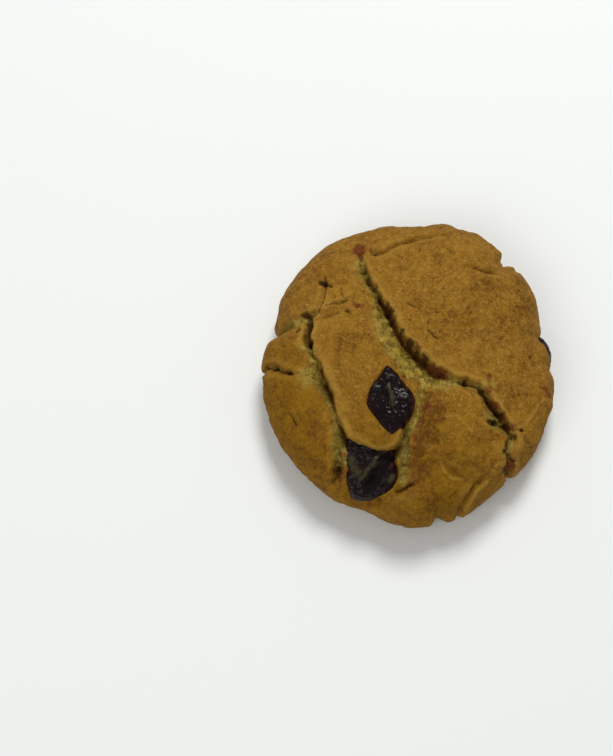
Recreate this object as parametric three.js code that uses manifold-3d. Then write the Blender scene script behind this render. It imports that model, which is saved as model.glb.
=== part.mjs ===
// A thick, soft-baked coconut cookie with pieces of dark fruit.
//
// The dough was dropped in lumps, so the baked cookie is a low dome whose crust has split into plates: a
// big slab at the upper right, a tongue down the middle that laps over two pieces of fruit, and four
// smaller lobes round them. Three whole pieces of fruit show in the top, and a fourth in the side.
//
// Lengths are millimetres. +Z is up, and the origin is the middle of the flat base.
import * as THREE from "three";
import { mergeVertices } from "three/addons/utils/BufferGeometryUtils.js";
import Module from "manifold-3d";

// ---- Driving dimensions ----

const HEIGHT = 28; // the smooth dome above the table, before its plates and cracks
const BULGE_HEIGHT = 10; // where the side stands out furthest
const HEEL_INSET = 5; // how far the base's edge stands back from the bulge
const DOME_POWER = 2.7; // 2 is a round dome, and more is flatter on top
const BASE_FADE = 5; // the relief dies out over this height, so that the base stays flat
const NOTCH_REACH = 0.3; // a notch in the outline runs in this far, as a share of the radius
const FRUIT_GAP = 0.35; // free space between a piece of fruit and the dough around it

// The bulge's radius every 15 degrees, anticlockwise from +X.
const OUTLINE = [
  47.8, 47.3, 51.4, 53, 56.2, 55, 53.3, 53.1, 53.4, 51.1, 49.2, 47.4,
  48.4, 49.5, 49, 49.7, 51.1, 51.3, 53.3, 53.6, 52, 49.8, 49, 49.6,
];

// Where the edge of a plate breaks the outline: its angle and depth, and how far it runs clockwise and
// anticlockwise, in degrees. It runs in towards the middle, ever shallower.
const NOTCHES = [
  { angle: 50.2, depth: 3.2, clockwise: 7, anticlockwise: 2.3 },
  { angle: 43.4, depth: 0.9, clockwise: 2, anticlockwise: 2 },
  { angle: 13, depth: 1.4, clockwise: 4, anticlockwise: 5 },
  { angle: -1, depth: 1, clockwise: 4, anticlockwise: 4 },
  { angle: -50, depth: 0.9, clockwise: 2, anticlockwise: 3.5 },
  { angle: -80.6, depth: 2.6, clockwise: 2.5, anticlockwise: 4.5 },
  { angle: 164.5, depth: 2.6, clockwise: 5, anticlockwise: 5 },
];

// The cracks, each a line of [x, y, depth, left, right]. left and right are how far its walls reach from
// the line on each side of the way it runs: 1.2 is a broken, steep edge, and 5 or more a slope of crumb.
const CRACKS = {
  // From the top, under the slab's broken edge and down to the lower right rim.
  slab: [
    [-17.4, 42, 0.2, 1, 1.2],
    [-16.8, 38, 1, 1.1, 1.5],
    [-15.8, 33.6, 2, 1.1, 2.6],
    [-13.4, 28.4, 2.4, 1.1, 3.6],
    [-11.2, 22.6, 2.8, 1.1, 4.4],
    [-10.2, 19.4, 3.8, 1.1, 4.4],
    [-8.2, 15.8, 4.6, 1.2, 4.8],
    [-5.9, 11.4, 4.6, 1.1, 6.6],
    [-4.2, 7.6, 4.8, 1.1, 8],
    [-2.2, 4.2, 5, 1.2, 9.2],
    [0.4, 1.4, 5.2, 1.4, 10],
    [3.4, -2.4, 5.2, 1.4, 10],
    [6.2, -5, 4.8, 1.5, 9],
    [9.6, -7.4, 4, 1.6, 8],
    [13.4, -9.6, 2, 1.6, 5],
    [18, -10, 2.8, 1.4, 3.4],
    [22.6, -11.2, 2.8, 1.2, 2.6],
    [25.4, -14.6, 3.4, 1.2, 2.6],
    [28, -18.8, 4, 1.2, 4],
    [31.6, -23.6, 4.6, 1.2, 5.5],
    [32.6, -27.4, 3, 1.2, 2],
    [30.6, -31.6, 2.2, 1.3, 1.6],
    [31.6, -35.2, 2.4, 1.4, 1.8],
    [33.5, -41, 1.6, 1.6, 1.8],
  ],
  // Down the tongue's left edge, round its tip and up its right edge.
  tongue: [
    [-27.6, 27, 0.5, 0.8, 0.8],
    [-28.4, 21.4, 0.9, 0.8, 0.8],
    [-30.4, 16.8, 1.2, 0.9, 1.2],
    [-33.2, 14.8, 3, 1.2, 1.8],
    [-33.6, 10.5, 3.2, 1.3, 1.7],
    [-33.6, 5.5, 3.4, 1.3, 1.6],
    [-33, 1.5, 2.4, 1.2, 1.8],
    [-31, -1.8, 1.6, 1.2, 3],
    [-29.4, -5, 3.8, 1.3, 8],
    [-28.3, -9.5, 4.2, 1.2, 4.4],
    [-27, -13.2, 3.8, 1.2, 3.2],
    [-25.6, -17.5, 3, 1.2, 2.4],
    [-25.2, -21, 1.8, 1.4, 2],
    [-24.4, -24.5, 2.8, 1.4, 2.5],
    [-21.8, -28.6, 4.6, 1.4, 4.5],
    [-17, -31.6, 5.4, 1.4, 7],
    [-12.2, -34, 5.4, 1.4, 8],
    [-7.6, -33.8, 5, 1.5, 6],
    [-4, -31.6, 3.6, 1.5, 4],
    [-1.2, -27.4, 2.4, 1.6, 3.4],
    [1, -22.5, 1.8, 1.8, 3],
    [2.8, -18, 1.2, 2, 2.5],
  ],
  paleValley: [
    [2.4, -9, 1, 3, 3],
    [3.2, -14.5, 1.8, 3, 3],
    [1.4, -20, 2, 2.4, 2.4],
    [-1, -25.5, 2.2, 2.4, 2.4],
    [-2, -31, 2.4, 3, 3],
    [-2.5, -36, 2.4, 3, 3],
    [-2.7, -41, 2, 2.2, 2.2],
    [-3.6, -45, 0.8, 1.8, 1.8],
  ],
  brownValley: [
    [5.6, -18, 0.6, 4, 2.5],
    [3.8, -24, 1.3, 5, 2.5],
    [4.4, -31, 1.8, 6, 3],
    [5.4, -38, 1.5, 6, 3],
    [4.6, -45, 0.3, 5, 3],
  ],
  leftSplit: [
    [-51, -0.5, 0.8, 1.2, 1.2],
    [-47, -1.2, 1.2, 1.2, 1.2],
    [-45.3, -2.4, 2.6, 1.3, 1.3],
    [-42.6, -4, 1.2, 1.1, 1.1],
    [-37.6, -6.4, 0.4, 1, 1],
  ],
  leftBand: [
    [-34.4, 14.6, 2.2, 3, 2.2],
    [-38, 12.8, 1.7, 2.8, 2.8],
    [-42, 12.6, 1.2, 1.6, 1.8],
    [-44, 12, 0.5, 1, 1.2],
  ],
  leftFold: [
    [-41.5, 13, 0.8, 1.2, 1.4],
    [-44.6, 11, 1.3, 1.2, 1.6],
    [-49.5, 10, 1.2, 1.4, 1.6],
  ],
  lobeValley: [
    [-25.4, -21.5, 0.8, 1.6, 1.8],
    [-24.2, -27, 1.8, 2.4, 2.6],
    [-24.2, -33, 2, 2.6, 3],
    [-24.6, -38, 1.8, 2.6, 3],
    [-24.4, -42.5, 0.6, 2, 2],
  ],
  pocketLip: [
    [-10, -48.2, 0.5, 2, 1],
    [-5, -46.2, 1.6, 2.4, 1],
    [-2.6, -45.2, 1.4, 2, 1],
    [-0.3, -43.6, 1, 1.5, 1],
    [2, -42.8, 0.3, 1.2, 1],
  ],
  topFlap: [
    [-15, 38.4, 0.5, 1.2, 1.2],
    [-8, 38.8, 1.4, 1.4, 1.2],
    [-2.4, 41.8, 1.8, 1.5, 1.2],
    [3, 43.4, 1.4, 1.5, 1.2],
    [9, 45.2, 0.8, 1.2, 1],
    [15, 46.6, 0.3, 1, 1],
  ],
  upperCrease: [
    [17.5, 31.2, 0.4, 1.5, 1.2],
    [22.7, 31, 1.2, 2.5, 1.2],
    [27, 30.6, 1.6, 2.5, 1.2],
    [30, 31.4, 1.2, 2.5, 1.4],
    [33, 35, 0.8, 2, 1.6],
    [35.5, 41, 0.6, 1.6, 1.6],
  ],
  tongueLedge: [
    [-32.5, 13, 0.6, 3, 1],
    [-29.7, 14.4, 1.2, 3, 1],
    [-26.7, 14.8, 1.3, 3, 1],
    [-23.6, 16.1, 1.1, 3, 1],
    [-18.6, 19, 0.8, 3, 1],
    [-15, 23, 0.3, 2, 1],
  ],
  rimFold: [
    [24, -39.5, 0.3, 1.2, 1.2],
    [21.8, -41.9, 1.1, 1.3, 1.3],
    [18.8, -45.5, 1.5, 1.3, 1.3],
    [15.4, -50.5, 1, 1.3, 1.3],
  ],
  lobeFold: [
    [8, -37, 0.3, 1, 2],
    [13, -40, 0.7, 1, 2.5],
    [17.5, -42.5, 0.5, 1, 2.5],
    [21, -43, 0.2, 1, 2],
  ],
};

// Swellings of the dough: the middle, the half lengths, the turn in degrees and the height. A hollow has a
// negative height.
const SWELLINGS = [
  { name: "slab", x: 18, y: 16, rx: 30, ry: 24, turn: 0, height: 1.4 },
  { name: "tongue", x: -15, y: -9, rx: 8.5, ry: 25, turn: 16, height: 2 },
  { name: "tongue tip", x: -12, y: -28, rx: 8, ry: 7, turn: 0, height: 1.4 },
  { name: "lower right lobe", x: 17, y: -29, rx: 12, ry: 12, turn: 0, height: 2.6 },
  { name: "lower left lobe", x: -38, y: -24, rx: 8, ry: 19, turn: 25, height: 2.2 },
  { name: "left lobe", x: -42, y: 4, rx: 7, ry: 5.5, turn: 0, height: 1.6 },
  { name: "shoulder", x: -32, y: 28, rx: 16, ry: 8, turn: 49, height: 1.3 },
  { name: "right rim", x: 40, y: -22, rx: 6, ry: 16, turn: -20, height: 1.4 },
  { name: "bottom rim", x: 0, y: -48, rx: 14, ry: 5, turn: 0, height: 1.3 },
  { name: "fruit pocket", x: -13, y: -38, rx: 9.5, ry: 8.5, turn: 0, height: -3.2 },
];

// The pieces of fruit: the middle in plan, how deep it lies under the dome (or its own height, in the
// side), the half sizes along its own axes, the turn in degrees, the power of its outline, where 1 is a
// rhombus and 2 an ellipse, and how much fuller its edge is than a ball's.
const FRUIT = [
  {
    name: "fruit_diamond",
    place: { x: -7.4, y: -16.9, depth: 1.4 },
    form: { half: [8.6, 12.6, 3.6], turn: 3, power: 1.28, cushion: 0.5, seed: 11 },
  },
  {
    name: "fruit_under_tongue",
    place: { x: -14.2, y: -32.2, depth: 5.2 },
    form: { half: [8.8, 7.8, 4.6], turn: -12, power: 3, cushion: 0.4, seed: 23 },
  },
  {
    name: "fruit_lower",
    place: { x: -12.9, y: -40.3, depth: 4.6 },
    form: { half: [9.3, 6.9, 4.8], turn: 10, power: 2.6, cushion: 0.4, seed: 37 },
  },
  {
    name: "fruit_side",
    place: { x: 44.5, y: 4.9, height: 10.5 },
    form: { half: [4.2, 7.6, 4.8], turn: 2, power: 2, cushion: 0.1, seed: 41 },
  },
];

// Uneven dough: the size of each kind of lump, and how far it moves the surface.
const DOUGH_LUMPS = [
  { size: 16, height: 1.1 },
  { size: 6.5, height: 0.45 },
];
const FRUIT_LUMPS = [
  { size: 5, height: 0.4 },
  { size: 2.2, height: 0.15 },
];

// ---- Fineness of the meshes ----

const DOME_RINGS = 35; // ring k has 6k points, so the triangles stay even
const HEEL_RINGS = 5; // each has as many points as the dome's last ring
const SNAP_DISTANCE = 0.75; // a point this close to a deep crack's line or broken edge moves on to it
const SNAP_DEPTH = 1.3; // only cracks deeper than this
const SNAP_SHARE = 0.95; // and not on the steep side of the dome, past this share of its radius
const STEEP_REACH = 1.8; // a wall that reaches less than this from its line is a broken edge
const FRUIT_DETAIL = 4;
const PROFILE_STEPS = 600;

// ---- Small mathematics ----

const degrees = Math.PI / 180;
const clamp01 = (t) => Math.min(1, Math.max(0, t));
const mix = (a, b, t) => a + (b - a) * t;
const smooth = (t) => clamp01(t) ** 2 * (3 - 2 * clamp01(t));

/** A repeatable random number from 0 to 1 for a lattice point. */
function random3(i, j, k) {
  const wave = Math.sin(i * 127.1 + j * 311.7 + k * 74.7) * 43758.5453;
  return wave - Math.floor(wave);
}

/** Smooth noise from -1 to 1, with lumps about one unit across. */
function noise(x, y, z) {
  const [i, j, k] = [x, y, z].map(Math.floor);
  const [u, v, w] = [smooth(x - i), smooth(y - j), smooth(z - k)];
  const edge = (dj, dk) => mix(random3(i, j + dj, k + dk), random3(i + 1, j + dj, k + dk), u);
  return 2 * mix(mix(edge(0, 0), edge(1, 0), v), mix(edge(0, 1), edge(1, 1), v), w) - 1;
}

/** How far the lumps of a list move a surface at a point. */
function lumps(kinds, x, y, z, seed = 0) {
  const lump = ({ size, height }) => height * noise(x / size + seed, y / size, z / size);
  return kinds.reduce((sum, kind) => sum + lump(kind), 0);
}

// ---- The dough's form ----

/** The radius at a share of the bulge's: a closed Catmull-Rom line through OUTLINE, less its notches. */
function ringRadius(share, angle) {
  const step = 360 / OUTLINE.length;
  const turns = (((angle / degrees) % 360) + 360) % 360;
  const i = Math.floor(turns / step);
  const t = turns / step - i;
  const [a, b, c, d] = [-1, 0, 1, 2].map((o) => OUTLINE[(i + o + OUTLINE.length) % OUTLINE.length]);
  let radius = b + 0.5 * t * (c - a + t * (2 * a - 5 * b + 4 * c - d + t * (3 * (b - c) + d - a)));
  for (const notch of NOTCHES) {
    const off = ((((turns - notch.angle) % 360) + 540) % 360) - 180;
    const reach = off < 0 ? notch.clockwise : notch.anticlockwise;
    const cut = notch.depth * (1 - smooth(Math.abs(off) / reach));
    radius -= cut * smooth((share - 1 + NOTCH_REACH) / NOTCH_REACH);
  }
  return share * radius;
}

/** The dome's height over a point in plan, without its notches and its relief. */
function domeHeight(x, y) {
  const whole = ringRadius(1 - NOTCH_REACH, Math.atan2(y, x)) / (1 - NOTCH_REACH);
  const share = clamp01(Math.hypot(x, y) / whole);
  return BULGE_HEIGHT + (HEIGHT - BULGE_HEIGHT) * Math.sqrt(1 - share ** DOME_POWER);
}

/** Even stations along a stretch of the cross-section, which `at` gives for 0 to 1 as [r, z]. */
function stretchStations(at, count) {
  const radius = OUTLINE.reduce((sum, r) => sum + r) / OUTLINE.length;
  const line = Array.from({ length: PROFILE_STEPS + 1 }, (_, i) => at(i / PROFILE_STEPS, radius));
  const along = [0];
  for (let i = 1; i < line.length; i++) {
    along.push(along[i - 1] + Math.hypot(line[i][0] - line[i - 1][0], line[i][1] - line[i - 1][1]));
  }
  return Array.from({ length: count }, (_, k) => {
    const wanted = ((k + 1) / count) * along.at(-1);
    const i = k === count - 1 ? PROFILE_STEPS : along.findIndex((length) => length >= wanted);
    const t = (wanted - along[i - 1]) / (along[i] - along[i - 1]);
    const [dr, dz] = [line[i][0] - line[i - 1][0], line[i][1] - line[i - 1][1]];
    const length = Math.hypot(dr, dz);
    return {
      share: mix(line[i - 1][0], line[i][0], t) / radius,
      z: mix(line[i - 1][1], line[i][1], t),
      normal: [-dz / length, dr / length],
    };
  });
}

/**
 * The cross-section from near the middle of the top, over the bulge and in to the base's edge. Each
 * station has r as a share of the bulge's radius, z, and the outward normal.
 */
function sectionStations() {
  const quarter = Math.PI / 2;
  const dome = stretchStations((t, radius) => [
    radius * Math.sin(t * quarter) ** (2 / DOME_POWER),
    BULGE_HEIGHT + (HEIGHT - BULGE_HEIGHT) * Math.cos(t * quarter),
  ], DOME_RINGS);
  const heel = stretchStations((t, radius) => [
    radius - HEEL_INSET * (1 - Math.cos(t * quarter)),
    BULGE_HEIGHT * (1 - Math.sin(t * quarter)),
  ], HEEL_RINGS);
  return [...dome, ...heel];
}

/** The nearest point of a crack's line, how far its wall reaches there, and the depth at both points. */
function nearestOnCrack(points, x, y) {
  let nearest = { distance: Infinity };
  for (let i = 1; i < points.length; i++) {
    const [a, b] = [points[i - 1], points[i]];
    const [dx, dy] = [b[0] - a[0], b[1] - a[1]];
    const t = clamp01(((x - a[0]) * dx + (y - a[1]) * dy) / (dx * dx + dy * dy));
    const [lineX, lineY] = [a[0] + t * dx, a[1] + t * dy];
    const distance = Math.hypot(x - lineX, y - lineY);
    if (distance >= nearest.distance) continue;
    const side = dx * (y - lineY) - dy * (x - lineX) > 0 ? 3 : 4;
    const reach = mix(a[side], b[side], t);
    const lineDepth = mix(a[2], b[2], t);
    const depth = lineDepth * (1 - smooth(distance / reach));
    nearest = { distance, lineX, lineY, reach, lineDepth, depth };
  }
  return nearest;
}

/** How far the relief moves the dough's surface outwards, at a point in plan. */
function relief(x, y) {
  let height = 0;
  for (const { x: cx, y: cy, rx, ry, turn, height: swell } of SWELLINGS) {
    const [c, s] = [Math.cos(turn * degrees), Math.sin(turn * degrees)];
    const u = ((x - cx) * c + (y - cy) * s) / rx;
    const v = ((y - cy) * c - (x - cx) * s) / ry;
    height += swell * Math.exp(-((u * u + v * v) ** 1.5));
  }
  // Where cracks meet, the deepest counts, and its walls run smoothly into the others.
  const depths = Object.values(CRACKS).map((points) => nearestOnCrack(points, x, y).depth);
  return height - depths.reduce((sum, depth) => sum + depth ** 4, 0) ** 0.25;
}

/** A point in plan, moved on to a deep crack's line or broken edge close by, so that both stay clean. */
function snapToCrack(x, y) {
  const near = Object.values(CRACKS)
    .map((points) => nearestOnCrack(points, x, y))
    .filter(({ lineDepth }) => lineDepth > SNAP_DEPTH)
    .sort((a, b) => a.distance - b.distance)[0];
  if (!near) return [x, y];
  const { distance, lineX, lineY, reach } = near;
  const broken = reach < STEEP_REACH;
  if (distance < (broken ? reach / 2 : SNAP_DISTANCE)) return [lineX, lineY];
  if (!broken || distance > reach + SNAP_DISTANCE) return [x, y];
  return [mix(lineX, x, reach / distance), mix(lineY, y, reach / distance)];
}

/** The dough's surface point at a station of the section and an angle. */
function doughPoint({ share, z, normal }, angle) {
  const radius = ringRadius(share, angle);
  let [x, y] = [radius * Math.cos(angle), radius * Math.sin(angle)];
  if (share < SNAP_SHARE) [x, y] = snapToCrack(x, y);
  const out = (relief(x, y) + lumps(DOUGH_LUMPS, x, y, z)) * smooth(z / BASE_FADE);
  const spread = 1 + (normal[0] * out) / Math.max(radius, 1);
  return [x * spread, y * spread, z + normal[1] * out];
}

// ---- Meshes ----

/** Joins two rings of points, each { first, count }, with triangles that face up or out. */
function zipRings(inner, outer, triangles) {
  let i = 0;
  let o = 0;
  while (i < inner.count || o < outer.count) {
    const corners = [inner.first + (i % inner.count), outer.first + (o % outer.count)];
    const innerIsBehind = (i + 0.5) / inner.count <= (o + 0.5) / outer.count;
    if (innerIsBehind) corners.push(inner.first + (++i % inner.count));
    else corners.push(outer.first + (++o % outer.count));
    triangles.push(...corners);
  }
}

/** The whole dough: rings of 6, 12, 18... points down the dome, even ones round the heel, and the base. */
function doughGeometry() {
  const stations = sectionStations();
  const points = [doughPoint({ share: 0, z: HEIGHT, normal: [0, 1] }, 0)];
  const triangles = [];
  let inner = null;
  stations.forEach((station, k) => {
    const ring = { first: points.length, count: 6 * Math.min(k + 1, DOME_RINGS) };
    for (let i = 0; i < ring.count; i++) points.push(doughPoint(station, (i / ring.count) * 2 * Math.PI));
    if (inner) zipRings(inner, ring, triangles);
    else for (let i = 0; i < 6; i++) triangles.push(0, 1 + i, 1 + ((i + 1) % 6));
    inner = ring;
  });
  const middle = points.push([0, 0, 0]) - 1;
  for (let i = 0; i < inner.count; i++) {
    triangles.push(middle, inner.first + ((i + 1) % inner.count), inner.first + i);
  }
  const geometry = new THREE.BufferGeometry();
  geometry.setAttribute("position", new THREE.Float32BufferAttribute(points.flat(), 3));
  geometry.setIndex(triangles);
  return geometry;
}

/** One piece of fruit, grown by `extra` all round: a rounded lump that lies in line with the dough. */
function fruitGeometry({ place: { x, y, depth, height }, form }, extra = 0) {
  const { half, turn, power, cushion, seed } = form;
  const ball = new THREE.IcosahedronGeometry(1, FRUIT_DETAIL);
  ball.deleteAttribute("normal");
  ball.deleteAttribute("uv");
  const geometry = mergeVertices(ball);
  const position = geometry.getAttribute("position");
  const p = new THREE.Vector3();
  for (let i = 0; i < position.count; i++) {
    p.fromBufferAttribute(position, i);
    const flat = Math.hypot(p.x, p.y) || 1;
    const rim = (Math.abs(p.x / flat) ** power + Math.abs(p.y / flat) ** power) ** (1 / power) || 1;
    const swell = 1 + lumps(FRUIT_LUMPS, p.x * half[0], p.y * half[1], p.z * half[2], seed) / half[2];
    const fullness = Math.max(flat, Math.abs(p.z)) ** -cushion;
    const grown = half.map((length) => length * swell * fullness + extra);
    p.set((p.x / rim) * grown[0], (p.y / rim) * grown[1], p.z * grown[2]);
    position.setXYZ(i, p.x, p.y, p.z);
  }
  const lean = new THREE.Quaternion();
  if (height === undefined) {
    const slope = 1; // millimetres over which the dome's slope is taken
    const up = new THREE.Vector3(
      domeHeight(x - slope, y) - domeHeight(x + slope, y),
      domeHeight(x, y - slope) - domeHeight(x, y + slope),
      2 * slope,
    );
    lean.setFromUnitVectors(new THREE.Vector3(0, 0, 1), up.normalize());
  }
  geometry.rotateZ(turn * degrees);
  geometry.applyQuaternion(lean);
  geometry.translate(x, y, height ?? domeHeight(x, y) - depth);
  return geometry;
}

const wasm = await Module();
wasm.setup();

/** A closed geometry as a solid that can be cut. */
function toSolid(geometry) {
  return new wasm.Manifold(
    new wasm.Mesh({
      numProp: 3,
      vertProperties: new Float32Array(geometry.getAttribute("position").array),
      triVerts: new Uint32Array(geometry.index.array),
    }),
  );
}

/** A cut solid as a geometry again. */
function toGeometry(solid) {
  const mesh = solid.getMesh();
  const geometry = new THREE.BufferGeometry();
  geometry.setAttribute("position", new THREE.Float32BufferAttribute(mesh.vertProperties, 3));
  geometry.setIndex(new THREE.Uint32BufferAttribute(mesh.triVerts, 1));
  return geometry;
}

/** A named mesh with its own material. */
function namedMesh(name, geometry, color, roughness) {
  geometry.computeVertexNormals();
  const mesh = new THREE.Mesh(geometry, new THREE.MeshStandardMaterial({ color, roughness, metalness: 0 }));
  mesh.name = name;
  return mesh;
}

// ---- The cookie ----

const cookie = new THREE.Group();

// Each piece of fruit is cut clear of those before it, and the dough clear of them all.
let dough = toSolid(doughGeometry());
let taken = null;
for (const piece of FRUIT) {
  const whole = toSolid(fruitGeometry(piece));
  const fruit = taken ? whole.subtract(taken) : whole;
  const room = toSolid(fruitGeometry(piece, FRUIT_GAP));
  taken = taken ? taken.add(room) : room;
  cookie.add(namedMesh(piece.name, toGeometry(fruit), 0x1e1214, 0.35));
}
dough = dough.subtract(taken);
cookie.add(namedMesh("dough", toGeometry(dough), 0x886124, 0.85));

export default cookie;
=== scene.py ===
"""A thick, soft-baked coconut cookie with pieces of dark fruit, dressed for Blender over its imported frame.

The dough is one closed mesh: rings of points from the middle of the top, over the bulge and under the base.
A relief of plates, cracks, crumb and crust grain moves them, and the same relief gives the masks that colour
the crust. Each piece of fruit is a wrinkled, sticky lump in a pocket of the dough.

The shapes are worked out in millimetres, and a mesh is scaled to metres when it is made.
"""

import math

import bpy
import numpy as np
from mathutils import Matrix, Vector


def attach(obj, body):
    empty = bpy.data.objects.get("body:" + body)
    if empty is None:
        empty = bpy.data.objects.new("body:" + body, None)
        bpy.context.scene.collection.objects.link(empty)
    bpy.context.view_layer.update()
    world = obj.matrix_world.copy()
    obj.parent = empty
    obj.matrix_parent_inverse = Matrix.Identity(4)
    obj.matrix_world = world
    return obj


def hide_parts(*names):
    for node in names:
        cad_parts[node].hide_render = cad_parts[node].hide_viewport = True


MM = 0.001
TINY = 1e-9  # keeps a division clear of 0
HASH = (127.1, 311.7, 74.7)  # turns a lattice point into a repeatable random number
HASH_SCALE = 43758.5453

# ---- The dough's form: the same named sizes as the solids' ----

HEIGHT = 28  # the smooth dome above the table, before its plates and cracks
BULGE_HEIGHT = 10  # where the side stands out furthest
HEEL_INSET = 5  # how far the base's edge stands back from the bulge
DOME_POWER = 2.7  # 2 is a round dome, and more is flatter on top
BASE_FADE = 5  # the relief dies out over this height, so that the base stays flat
NOTCH_REACH = 0.3  # a notch in the outline runs in this far, as a share of the radius

# The bulge's radius every 15 degrees, anticlockwise from +X.
OUTLINE = (
    47.8, 47.3, 51.4, 53, 56.2, 55, 53.3, 53.1, 53.4, 51.1, 49.2, 47.4,
    48.4, 49.5, 49, 49.7, 51.1, 51.3, 53.3, 53.6, 52, 49.8, 49, 49.6,
)

# Where the edge of a plate breaks the outline: angle, depth, and reach clockwise and anticlockwise. The angle
# and the reaches are in degrees.
NOTCHES = (
    (50.2, 3.2, 7, 2.3), (43.4, 0.9, 2, 2), (13, 1.4, 4, 5), (-1, 1, 4, 4), (-50, 0.9, 2, 3.5),
    (-80.6, 2.6, 2.5, 4.5), (164.5, 2.6, 5, 5),
)

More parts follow.
